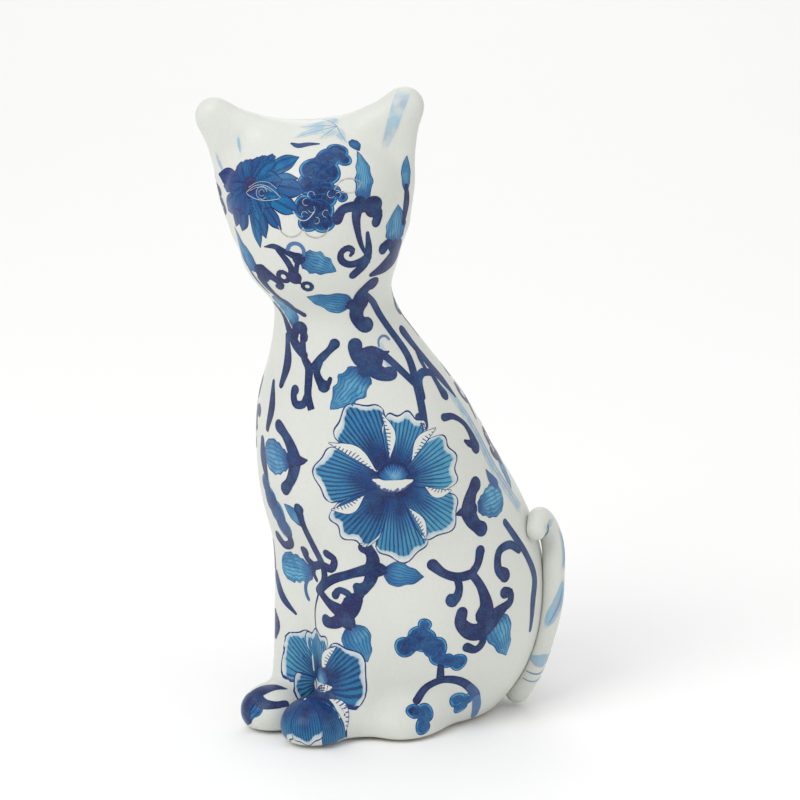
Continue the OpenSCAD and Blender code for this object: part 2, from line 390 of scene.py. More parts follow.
class Paint:
    """A material's node tree. Each call adds nodes and returns the socket that holds the result."""

    def __init__(self, name):
        self.material = bpy.data.materials.new(name)
        self.material.use_nodes = True
        self.tree = self.material.node_tree
        self.tree.nodes.clear()
        self.place = self.node("ShaderNodeTexCoord").outputs["Object"]

    def node(self, kind, **settings):
        """Adds a node and sets its properties."""
        node = self.tree.nodes.new(kind)
        for key, value in settings.items():
            setattr(node, key, value)
        return node

    def feed(self, socket, value):
        """Gives a socket its value: another socket, a colour or a number."""
        if isinstance(value, bpy.types.NodeSocket):
            self.tree.links.new(value, socket)
        elif isinstance(value, tuple) and socket.type == "RGBA":
            socket.default_value = (*value, 1)
        else:
            socket.default_value = value

    def math(self, operation, *values):
        """The result of a math node."""
        node = self.node("ShaderNodeMath", operation=operation)
        for socket, value in zip(node.inputs, values):
            self.feed(socket, value)
        return node.outputs[0]

    def times(self, a, b):
        return self.math("MULTIPLY", a, b)

    def plus(self, a, b):
        return self.math("ADD", a, b)

    def minus(self, a, b):
        return self.math("SUBTRACT", a, b)

    def times_plus(self, a, b, c):
        return self.math("MULTIPLY_ADD", a, b, c)

    def ease(self, value, start, end, low=0.0, high=1.0):
        """Runs smoothly from low, where value is start, to high, where it is end."""
        node = self.node("ShaderNodeMapRange", interpolation_type="SMOOTHSTEP")
        for socket, v in zip(node.inputs, (value, start, end, low, high)):
            self.feed(socket, v)
        return node.outputs[0]

    def mix(self, share, a, b, blend="MIX"):
        """Two colours mixed by a share from 0 to 1."""
        node = self.node("ShaderNodeMix", data_type="RGBA", blend_type=blend)
        self.feed(node.inputs["Factor"], share)
        self.feed(node.inputs[6], a)
        self.feed(node.inputs[7], b)
        return node.outputs[2]

    def mix_value(self, factor, a, b):
        """The same for two numbers."""
        return self.times_plus(factor, self.minus(b, a), a)

    def noise(self, size_mm, detail, rough=0.5):
        """Soft noise with patches about size_mm wide."""
        node = self.node("ShaderNodeTexNoise")
        self.feed(node.inputs["Vector"], self.place)
        node.inputs["Scale"].default_value = 1 / (size_mm * MM)
        node.inputs["Detail"].default_value = detail
        node.inputs["Roughness"].default_value = rough
        return node.outputs[0]

    def spots(self, size_mm, radius, share):
        """1 inside small round spots, one to a cell in this share of the cells."""
        node = self.node("ShaderNodeTexVoronoi")
        self.feed(node.inputs["Vector"], self.place)
        node.inputs["Scale"].default_value = 1 / (size_mm * MM)
        chosen = self.math("LESS_THAN", self.red(node.outputs["Color"]), share)
        return self.times(self.ease(node.outputs["Distance"], radius, radius * 0.5), chosen)

    def red(self, colour):
        """The first channel of a random colour, as a number."""
        node = self.node("ShaderNodeSeparateColor")
        self.feed(node.inputs[0], colour)
        return node.outputs[0]

    def attribute(self, name):
        """The three numbers that a film's mesh holds: for pat across, along and edge; for ink tone,
        seed and length."""
        node = self.node("ShaderNodeAttribute", attribute_name=name)
        split = self.node("ShaderNodeSeparateXYZ")
        self.feed(split.inputs[0], node.outputs["Vector"])
        return split.outputs[0], split.outputs[1], split.outputs[2]

    def finish(self, colour, roughness, height, coat=0.0, bump_mm=0.03):
        """Ends the material as a soft, lightly shining surface with fine relief."""
        shader = self.node("ShaderNodeBsdfPrincipled")
        self.feed(shader.inputs["Base Color"], colour)
        self.feed(shader.inputs["Roughness"], roughness)
        shader.inputs["Specular IOR Level"].default_value = SHEEN
        shader.inputs["Coat Weight"].default_value = coat
        shader.inputs["Coat Roughness"].default_value = COAT_ROUGHNESS
        bump = self.node("ShaderNodeBump")
        bump.inputs["Strength"].default_value = 1.0
        bump.inputs["Distance"].default_value = bump_mm * MM
        self.feed(bump.inputs["Height"], height)
        self.feed(shader.inputs["Normal"], bump.outputs[0])
        out = self.node("ShaderNodeOutputMaterial")
        self.tree.links.new(shader.outputs[0], out.inputs[0])
        return self.material

    def glaze(self, painted):
        """Satin glaze over a colour: a slight orange peel, tiny pits, rare iron specks, soft mottling."""
        mottle = self.noise(38, 3)
        grain = self.noise(0.9, 3, 0.6)
        peel = self.noise(2.6, 2)
        pits = self.spots(4.2, 0.055, 0.28)
        specks = self.spots(7.5, 0.035, 0.3)
        colour = self.mix(self.ease(mottle, 0.35, 0.7, 0, 0.10), painted, (0.70, 0.73, 0.66), "MULTIPLY")
        colour = self.mix(self.ease(grain, 0.3, 0.75, 0, 0.10), colour, (0.62, 0.63, 0.60), "MULTIPLY")
        colour = self.mix(self.times(pits, 0.45), colour, (0.30, 0.31, 0.30), "MULTIPLY")
        colour = self.mix(self.times(specks, 0.55), colour, (0.16, 0.14, 0.12), "MULTIPLY")
        rough = self.ease(self.plus(mottle, self.times(grain, 0.5)), 0.4, 1.0, 0.27, 0.40)
        height = self.plus(peel, self.times(grain, 0.35))
        height = self.minus(height, self.times(pits, 1.6))
        return self.finish(colour, rough, height, coat=0.08)


def plain_glaze():
    """The bare white glaze."""
    return Paint("glaze_white").glaze(WHITE)


def bisque():
    """Fired clay without glaze."""
    p = Paint("bisque")
    sand = p.noise(0.5, 4, 0.7)
    tint = p.noise(14, 3)
    colour = p.mix(tint, (0.64, 0.58, 0.47), (0.72, 0.68, 0.59))
    colour = p.mix(p.ease(sand, 0.55, 0.75, 0, 0.5), colour, (0.42, 0.38, 0.31))
    return p.finish(colour, p.ease(sand, 0.2, 0.8, 0.75, 0.95), sand, bump_mm=0.12)


def felt():
    """The dark grey felt of the pads."""
    p = Paint("felt")
    fibre = p.noise(0.35, 5, 0.8)
    clump = p.noise(1.6, 3)
    colour = p.mix(fibre, (0.035, 0.038, 0.040), (0.105, 0.11, 0.115))
    colour = p.mix(p.ease(clump, 0.3, 0.8, 0, 0.5), colour, (0.16, 0.165, 0.17))
    return p.finish(colour, p.ease(clump, 0, 1, 0.85, 1.0), p.plus(fibre, clump), bump_mm=0.25)


def ruled(p, across, count, seed, wander):
    """Fine brush lines side by side: 1 on a line, 0 halfway between two."""
    drift = p.times(p.noise(3.2, 2), wander * 2)
    angle = p.times_plus(across, math.pi * count, p.times_plus(seed, 6.0, drift))
    return p.times_plus(p.math("COSINE", angle), 0.5, 0.5)


def edged(p, edge, wave_mm, wobble, width):
    """1 on a line of uneven width along a film's edge, 0 inside."""
    wave = p.times(p.noise(wave_mm, 2), wobble)
    return p.ease(p.minus(edge, wave), width, 0.0)


def washed(p, colour, spread):
    """Uneven strength of a watery blue: cloudy lighter parts and a fine grain."""
    cloud = p.ease(p.noise(5.5, 3, 0.6), 0.42, 0.78, 0, spread)
    grain = p.ease(p.noise(0.45, 2, 0.7), 0.45, 0.8, 0, 0.09)
    return p.mix(grain, p.mix(cloud, colour, SKY), MIST)


def ink_stroke():
    """Vines, hooks and dark calyxes. Tone runs from navy (0) to a thin blue-grey (1)."""
    p = Paint("ink_stroke")
    edge = p.attribute("pat")[2]
    tone = p.attribute("ink")[0]
    body = p.mix(p.ease(p.noise(16, 2), 0.40, 0.62), NAVY, VIOLET)
    body = p.mix(p.ease(p.noise(9, 2), 0.52, 0.75, 0, 0.55), body, DEEP)
    thin = p.mix(p.ease(tone, 0.0, 0.5), body, (0.07, 0.16, 0.36))
    thin = p.mix(p.ease(tone, 0.45, 1.0), thin, (0.30, 0.40, 0.52))
    middle = p.times(p.ease(edge, 0.25, 1.1), p.ease(p.noise(3.5, 2), 0.35, 0.7, 0.0, 0.25))
    colour = p.mix(middle, thin, (0.030, 0.085, 0.25))
    return p.glaze(washed(p, colour, 0.16))


def ink_petal():
    """A petal of a peony: a fan of dark brush lines on light blue, a white rim and a thin outline."""
    p = Paint("ink_petal")
    across, from_tip, edge = p.attribute("pat")
    tone, seed, reach = p.attribute("ink")
    along = p.minus(1.0, p.math("DIVIDE", from_tip, reach))
    lines = ruled(p, across, 13.0, seed, 1.1)
    light = p.mix(tone, (0.080, 0.33, 0.48), (0.008, 0.13, 0.30))
    light = p.mix(p.ease(along, 0.80, 0.35, 0, 0.7), light, (0.010, 0.10, 0.29))
    light = p.mix(p.ease(p.noise(5, 3), 0.38, 0.66, 0, 0.45), light, (0.02, 0.16, 0.38))
    dark = p.mix(p.ease(p.noise(6, 2), 0.4, 0.65), (0.006, 0.022, 0.105), DEEP)
    start = p.times_plus(along, 0.60, p.times_plus(tone, -0.30, 0.30))
    ruling = p.times(p.ease(p.minus(lines, start), -0.18, 0.26), 0.86)
    fan = p.mix(ruling, light, dark)
    shade = p.times_plus(tone, 0.16, p.times_plus(p.noise(7, 2), 0.2, 0.30))
    fan = p.mix(p.ease(along, p.plus(shade, 0.22), p.minus(shade, 0.16)), fan, dark)
    fan = washed(p, fan, 0.10)
    rim = p.times_plus(p.noise(6.0, 1), 4.2, p.times_plus(lines, -0.20, 0.15))
    inside = p.ease(p.minus(from_tip, rim), -0.25, 0.45)
    pale = p.mix(p.ease(p.minus(from_tip, rim), -2.0, 0.2, 0, 0.60), WHITE, (0.26, 0.45, 0.58))
    colour = p.mix(inside, pale, fan)
    width = p.times_plus(p.noise(3.0, 2), 0.60, 0.26)
    outline = p.ease(p.minus(edge, width), 0.08, -0.06)
    return p.glaze(p.mix(outline, colour, OUTLINE))


def ink_heart():
    """The middle of a peony: dark along its upper edge, light below with fine upright lines."""
    p = Paint("ink_heart")
    across, from_tip = p.attribute("pat")[:2]
    seed, reach = p.attribute("ink")[1:]
    share = p.math("DIVIDE", from_tip, reach)
    lines = ruled(p, across, 15.0, seed, 1.4)
    light = p.mix(p.ease(p.noise(3.0, 3), 0.40, 0.62), (0.20, 0.46, 0.62), (0.04, 0.22, 0.42))
    light = p.mix(p.ease(share, 0.80, 0.20), light, (0.012, 0.10, 0.30))
    ruling = p.ease(lines, 0.45, 0.80, 0, 0.7)
    colour = p.mix(ruling, light, (0.010, 0.055, 0.22))
    top = p.times_plus(p.noise(2.4, 2), 0.20, p.times_plus(lines, 0.10, 0.04))
    colour = p.mix(p.ease(p.minus(share, top), 0.06, -0.06), colour, NAVY)
    return p.glaze(washed(p, colour, 0.10))


def ink_leaf():
    """A leaf or the light cup of a bud: watery blue with long dark lines and a thin edge."""
    p = Paint("ink_leaf")
    across, along, edge = p.attribute("pat")
    tone, seed, length = p.attribute("ink")
    share = p.math("DIVIDE", along, length)
    lines = ruled(p, across, 7.5, seed, 2.6)
    light = p.mix(tone, (0.13, 0.38, 0.54), (0.010, 0.10, 0.29))
    light = p.mix(p.ease(p.noise(3.6, 3), 0.40, 0.60, 0, 0.75), light, (0.025, 0.18, 0.38))
    light = p.mix(p.ease(across, -0.1, 0.9, 0, 0.55), light, (0.010, 0.10, 0.28))
    dark = p.mix(tone, (0.008, 0.080, 0.23), NAVY)
    colour = p.mix(p.times(p.ease(lines, 0.60, 0.95), 0.75), light, dark)
    colour = p.mix(p.ease(share, 0.38, 0.02, 0, 0.9), colour, TICK)
    tip = p.times(p.ease(share, 0.62, 0.98), p.ease(tone, 0.3, 0.9))
    colour = p.mix(tip, colour, NAVY)
    outline = edged(p, edge, 2.0, 0.45, 0.14)
    return p.glaze(p.mix(outline, washed(p, colour, 0.18), (0.010, 0.08, 0.25)))


def ink_mum():
    """A pointed petal of the chrysanthemum: strong blue with violet shading and dark veins."""
    p = Paint("ink_mum")
    across, along, edge = p.attribute("pat")
    tone, seed, length = p.attribute("ink")
    share = p.math("DIVIDE", along, length)
    lines = ruled(p, across, 2.0, seed, 1.4)
    body = p.mix(tone, (0.010, 0.15, 0.34), (0.018, 0.040, 0.18))
    body = p.mix(p.ease(p.noise(4.5, 3), 0.40, 0.66, 0, 0.75), body, (0.008, 0.085, 0.27))
    colour = p.mix(p.times(p.ease(lines, 0.60, 0.95), 0.55), body, NAVY)
    colour = p.mix(p.ease(share, 0.45, 0.0, 0, 0.55), colour, OUTLINE)
    outline = edged(p, edge, 2.0, 0.5, 0.12)
    return p.glaze(p.mix(outline, colour, NAVY))


def ink_halo():
    """The light rim of a cloud, with a thin outline on its outer side."""
    p = Paint("ink_halo")
    edge = p.attribute("pat")[2]
    colour = p.mix(p.ease(p.noise(2.6, 3), 0.40, 0.62), (0.07, 0.31, 0.50), (0.012, 0.14, 0.35))
    outline = edged(p, edge, 2.2, 0.5, 0.12)
    return p.glaze(p.mix(outline, colour, (0.010, 0.045, 0.20)))


def ink_cloud():
    """The curdled middle of a cloud, from deep blue (tone 0) to navy (tone 1)."""
    p = Paint("ink_cloud")
    edge = p.attribute("pat")[2]
    tone = p.attribute("ink")[0]
    swirl = p.noise(3.0, 4, 0.62)
    light = p.mix(tone, (0.010, 0.105, 0.29), (0.008, 0.030, 0.13))
    dark = p.mix(tone, (0.008, 0.060, 0.23), NAVY)
    body = p.mix(p.ease(swirl, 0.42, 0.58), light, dark)
    vein = p.math("ABSOLUTE", p.minus(p.noise(4.4, 2), 0.5))
    body = p.mix(p.ease(vein, 0.022, 0.004, 0, 0.22), body, (0.04, 0.20, 0.38))
    soft = p.ease(p.minus(edge, p.times(swirl, 0.5)), 0.25, 0.0, 0, 0.7)
    return p.glaze(washed(p, p.mix(soft, body, (0.010, 0.09, 0.28)), 0.12))


def ink_wash():
    """A faint stroke that fades out at its sides and ends. Tone is its strength."""
    p = Paint("ink_wash")
    along, edge = p.attribute("pat")[1:]
    tone, length = p.attribute("ink")[::2]
    cloud = p.ease(p.noise(4.0, 3), 0.30, 0.62, 0.35, 1.0)
    ends = p.times(p.ease(along, 0.0, 2.5), p.ease(p.minus(length, along), 0.0, 4.0))
    body = p.times(p.ease(edge, 0.05, 0.55), ends)
    share = p.times(body, p.times(cloud, tone))
    blue = p.mix(p.ease(p.noise(7, 2), 0.4, 0.6), (0.30, 0.49, 0.60), (0.36, 0.45, 0.55))
    return p.glaze(p.mix(share, WHITE, blue))


def ink_fold():
    """A petal's white turned edge with short ticks on its left (tone 0) or right side, or plain (2)."""
    p = Paint("ink_fold")
    across, along, edge = p.attribute("pat")
    tone = p.attribute("ink")[0]
    side = p.times(across, p.times_plus(tone, -2.0, 1.0))
    teeth = p.math("COSINE", p.times_plus(along, 4.6, p.times(side, 2.6)))
    reach = p.times_plus(p.noise(2.5, 2), 1.5, -0.85)
    on_tooth = p.ease(teeth, 0.25, 0.75)
    on_side = p.ease(p.minus(side, reach), 0.12, -0.12)
    tick = p.times(on_tooth, on_side)
    plain = p.ease(tone, 1.4, 1.6)
    ragged = p.times_plus(p.noise(1.1, 2), 1.6, p.times_plus(across, 1.0, -1.45))
    tick = p.mix_value(plain, tick, p.ease(ragged, -0.08, 0.08))
    colour = p.mix(p.times(tick, 0.9), WHITE, TICK)
    outline = edged(p, edge, 2.0, 0.3, 0.12)
    outline = p.times(outline, p.minus(1.0, plain))
    return p.glaze(p.mix(outline, colour, TICK))


def scratch_line_and_shade():
    """A line scratched into the face, drawn as colour with no groove: grey-tan on white (tone 0), partly
    painted shade of the groove and partly its own tint; pale over the flowers (tone 1).
    """
    p = Paint("scratch_line_and_shade")
    tone = p.attribute("ink")[0]
    broken = p.ease(p.noise(1.8, 3), 0.30, 0.55, 0.35, 1.0)
    # grey-tan on white: partly painted shade of the scratched groove, which the mesh lacks, and partly the
    # line's own tint
    colour = p.mix(tone, (0.36, 0.33, 0.28), (0.46, 0.54, 0.60))
    return p.glaze(p.mix(p.times(broken, 0.9), WHITE, colour))


INKS = {"stroke": ink_stroke(), "petal": ink_petal(), "heart": ink_heart(), "leaf": ink_leaf(),
        "mum": ink_mum(), "halo": ink_halo(), "cloud": ink_cloud(), "wash": ink_wash(),
        "fold": ink_fold(), "line": scratch_line_and_shade()}
GLAZE = plain_glaze()
BISQUE = bisque()
FELT = felt()

# ---- Clay pieces ----
GLAZED = (GLAZE, BISQUE)
FINE = 0.6  # grid of the small pieces
PAW_NORMAL = np.array([0, -0.817, -0.577])
PAW_SEAM = (PAW_NORMAL, PAW_NORMAL @ (0, -45, 17))
UP = (0, 0, 1)
DOWN = -np.array(UP)
EAR_LEAN, EAR_OUT = (0.6, 0.8), 23

# A pad's outline from its axis, drawn for a radius of PROFILE_R and a thickness of 1.
PAD_PROFILE = ((0.0, 0.0), (5.5, 0.0), (5.85, 0.12), (6.0, 0.5), (5.85, 0.88), (5.5, 1.0), (0.0, 1.0))
PROFILE_R = 6
PAD_SIDES = 72
PAD_UNEVEN = 0.012


def other_side(seam):
    """The same plane, cutting away the other side."""
    return -np.array(seam[0]), -seam[1]


def ear_seam(side):
    """The plane where an ear is luted to the head. side is 1 for the left ear, -1 for the right one."""
    normal = HEAD_AXES @ (EAR_LEAN[0] * side, 0, EAR_LEAN[1])
    return normal, EAR_OUT + normal @ HEAD


def beyond(seam, p):
    """How far points lie beyond a seam's plane."""
    return p @ np.array(seam[0]) - seam[1]


def torso_hollow(p):
    """The hollow of the body: WALL mm inside the glaze and inside the paws' seam."""
    return np.maximum(glaze_field(p) + WALL, beyond(PAW_SEAM, p) + WALL)


def head_hollow(p):
    """The hollow of the head: WALL mm inside the glaze and inside the ears' seams."""
    ears = np.maximum(beyond(ear_seam(1), p), beyond(ear_seam(-1), p))
    return np.maximum(glaze_field(p) + WALL, ears + WALL)


def vented_floor(p):
    """The solid under the glaze with the round vent hole through it."""
    return smooth_max(glaze_field(p), VENT_R - np.hypot(p[:, 0], p[:, 1]), VENT_ROUND)


def felt_disc(name, x, y):
    """A punched felt pad: a disc with soft edges and a slightly uneven rim."""
    rng = np.random.default_rng(len(name))
    bm = bmesh.new()
    rings = []
    uneven = 1 - PAD_UNEVEN * rng.random(PAD_SIDES)
    for r, z in PAD_PROFILE:
        if r == 0:
            rings.append([bm.verts.new((x, y, z * PAD_T))] * PAD_SIDES)
            continue
        ring = []
        for j, share in enumerate(uneven):
            reach = r / PROFILE_R * PAD_R * share
            angle = math.tau * j / PAD_SIDES
            ring.append(bm.verts.new((x + reach * math.cos(angle), y + reach * math.sin(angle), z * PAD_T)))
        rings.append(ring)
    for low, high in zip(rings, rings[1:]):
        for j in range(PAD_SIDES):
            after = (j + 1) % PAD_SIDES
            corners = [low[j], low[after], high[after], high[j]]
            bm.faces.new(list(dict.fromkeys(corners)))
    mesh = bpy.data.meshes.new(name)
    bm.to_mesh(mesh)
    bm.free()
    mesh.transform(Matrix.Diagonal((MM, MM, MM, 1)) @ Matrix.Translation((0, AXIS_Y, 0)))
    mesh.polygons.foreach_set("use_smooth", np.ones(len(mesh.polygons), bool))
    return mesh


def make_torso():
    """The hollow body, cut at the floor, the neck and the paws."""
    ends = [(DOWN, -FLOOR_Z), (UP, NECK_Z)]
    mesh = clay_mesh("torso", glaze_field, (-50, -60, 2), (50, 56, 151), 1.0,
                     [*ends, PAW_SEAM], torso_hollow, ends)
    show("torso", mesh, GLAZED, ["torso_shell"])


def make_head():
    """The hollow head, cut at the neck and the ears."""
    neck = (DOWN, -NECK_Z)
    mesh = clay_mesh("head", glaze_field, (-42, -78, 143), (46, 0, 222), 0.7,
                     [neck, ear_seam(1), ear_seam(-1)], head_hollow, [neck])
    show("head", mesh, GLAZED, ["head_shell"])


def make_ear(side, word):
    """One solid ear, cut off the head."""
    middle = HEAD + HEAD_AXES @ (26 * side, 0, 17)
    name = word + "_ear_piece"
    mesh = clay_mesh(name, glaze_field, middle - 24, middle + 24, FINE, [other_side(ear_seam(side))])
    show(name, mesh, GLAZED, [word + "_ear"])


def make_paw(side, word):
    """One solid forepaw, cut off the foreleg and from the other paw."""
    name = word + "_paw_piece"
    between = ((-side, 0, 0), 0)
    mesh = clay_mesh(name, glaze_field, (-24, -63, -1), (24, -30, 24), FINE, [other_side(PAW_SEAM), between])
    show(name, mesh, GLAZED, [word + "_forepaw"])


def make_tail():
    """The solid tail."""
    mesh = clay_mesh("tail_piece", tail_field, (20, 18, -1), (47, 46, 76), FINE, [])
    show("tail_piece", mesh, GLAZED, ["tail"])


def make_floor_plate():
    """The glazed floor, with bare clay on the faces that look down."""
    mesh = clay_mesh("floor", vented_floor, (-50, -60, -1), (50, 56, 8), 0.8, [(UP, FLOOR_Z), PAW_SEAM])
    underside = [face.normal.z < -0.9 for face in mesh.polygons]
    mesh.polygons.foreach_set("material_index", np.array(underside, int))
    show("floor_plate", mesh, GLAZED, ["base_plate"])


def make_clay():
    """Every piece of the cat except its painting."""
    make_torso()
    make_head()
    for side, word in ((1, "left"), (-1, "right")):
        make_ear(side, word)
        make_paw(side, word)
    make_tail()
    make_floor_plate()
    for name, (x, y) in PAD_PLACES.items():
        show(name + "_disc", felt_disc(name, x, y), [FELT], [name])


make_clay()

# ---- Painting: films that lie on the glaze ----
CELL = 1.0  # longest side of a film's cell
HOP = 1.6  # longest hop of a walk over the glaze
HOP_PROBE = 0.03  # step that a walk feels the slope with
RAY_STEPS, RAY_SHARE = 45, 0.85  # a ray's steps, and how much of the field's distance each one takes
SWING_STEPS = 39
END_ANGLES = np.radians((28, 55, 76))  # places of the points that round off a stroke's end
FLAT_ENDS, ROUND_ENDS = ("flat", "flat"), ("round", "round")
FILM, LAYER = 0.045, 0.012  # height of the lowest film over the glaze, and of each one over the last
films = []


def cast(shape, centre, direction, far=60.0):
    """The outermost points of a field's surface along rays from a centre."""
    r = np.full(len(direction), far)
    for _ in range(RAY_STEPS):
        r = r - RAY_SHARE * shape(centre + direction * r[:, None])
    return centre + direction * r[:, None]


def on_body(turn, height):
    """Points on the glaze at a turn about the body's axis (0 is the chest, 90 the left side)."""
    turn, height = np.radians(np.atleast_1d(turn)), np.atleast_1d(height).astype(float)
    centre = np.stack([0 * height, body_mid(height), height], -1)
    return cast(glaze_field, centre, np.stack([np.sin(turn), -np.cos(turn), 0 * turn], -1))


def on_head(turn, rise):
    """Points on the glaze seen from the head's middle, in degrees from the way the face looks."""
    turn, rise = np.radians(np.atleast_1d(turn)), np.radians(np.atleast_1d(rise))
    out = np.stack([np.sin(turn) * np.cos(rise), -np.cos(turn) * np.cos(rise), np.sin(rise)], -1)
    return cast(glaze_field, HEAD, out @ HEAD_AXES.T)


def near(x, y, z):
    """The point on the glaze next to a point given in the body's axes."""
    return settle(glaze_field, np.array([[x, y, z]], float), 6)


def on_tail(u, turn):
    """A point on the tail, u of the way along it, turned about its line from the outer side."""
    middle = spline(TAIL_LINE, np.array([u * (len(TAIL_LINE) - 1)]))
    along = unit(spline(TAIL_LINE, np.array([u * (len(TAIL_LINE) - 1) + 0.05])) - middle)
    out = unit(gradient(glaze_field, middle))
    out = unit(out - along * (out * along).sum())
    side = np.cross(along, out)
    turn = math.radians(turn)
    return cast(tail_field, middle, out * math.cos(turn) + side * math.sin(turn), 6.0)


def soft_line(points, widths, ends):
    """Evenly spaced points, half widths and places along a smooth line, with its ends closed."""
    points, widths = np.array(points, float), np.array(widths, float)
    fine = np.linspace(0, len(points) - 1, 12 * len(points))
    dense = spline(points, fine)
    steps = np.linalg.norm(np.diff(dense, axis=0), axis=1)
    place = np.concatenate([[0], np.cumsum(steps)])
    count = max(int(np.ceil(place[-1] / CELL)), 3) + 1
    at = np.linspace(0, place[-1], count)
    index = np.interp(at, place, fine)
    half = np.maximum(spline(widths[:, None], index)[:, 0], 0.05)
    line = spline(points, index)
    for end, last in zip(ends, (False, True)):
        if end != "round":
            continue
        inner, outer = (line[-2], line[-1]) if last else (line[1], line[0])
        way, w = unit(outer - inner), half[-1] if last else half[0]
        for angle in END_ANGLES:
            tip, tip_w = outer + way * w * math.sin(angle), w * math.cos(angle)
            if last:
                line, half = np.vstack([line, tip]), np.append(half, tip_w)
            else:
                line, half = np.vstack([tip, line]), np.append(tip_w, half)
    gaps = np.linalg.norm(np.diff(line, axis=0), axis=1)
    return line, half, np.concatenate([[0], np.cumsum(gaps)])


def band(half, place, columns):
    """The across, along and edge values of a ribbon's grid."""
    across = np.broadcast_to(columns, (len(half), len(columns)))
    along = np.broadcast_to(place[:, None], across.shape)
    return np.stack([across, along, half[:, None] * (1 - np.abs(across))], -1)


def columns_for(half):
    """Places across a stroke, from -1 to 1, close enough for its widest part."""
    count = 2 * int(np.clip(np.ceil(half.max() / CELL), 1, 6)) + 1
    return np.linspace(-1, 1, count)


def swing(x, y, heading, length, bend, power, count=9):
    """Points of a stroke that starts at x, y and turns by bend degrees, sooner (power 1) or later."""
    s = np.linspace(0, 1, SWING_STEPS + 1)
    angle = np.radians(heading + bend * s ** power)
    step = length / SWING_STEPS
    xs = x + np.concatenate([[0], np.cumsum(np.cos((angle[1:] + angle[:-1]) / 2))]) * step
    ys = y + np.concatenate([[0], np.cumsum(np.sin((angle[1:] + angle[:-1]) / 2))]) * step
    pick = np.linspace(0, SWING_STEPS, count).astype(int)
    return np.column_stack([xs, ys])[pick]


def arc(x, y, radius, angle):
    """Points round x, y at the angles, in radians."""
    return np.column_stack([x + radius * np.cos(angle), y + radius * np.sin(angle)])


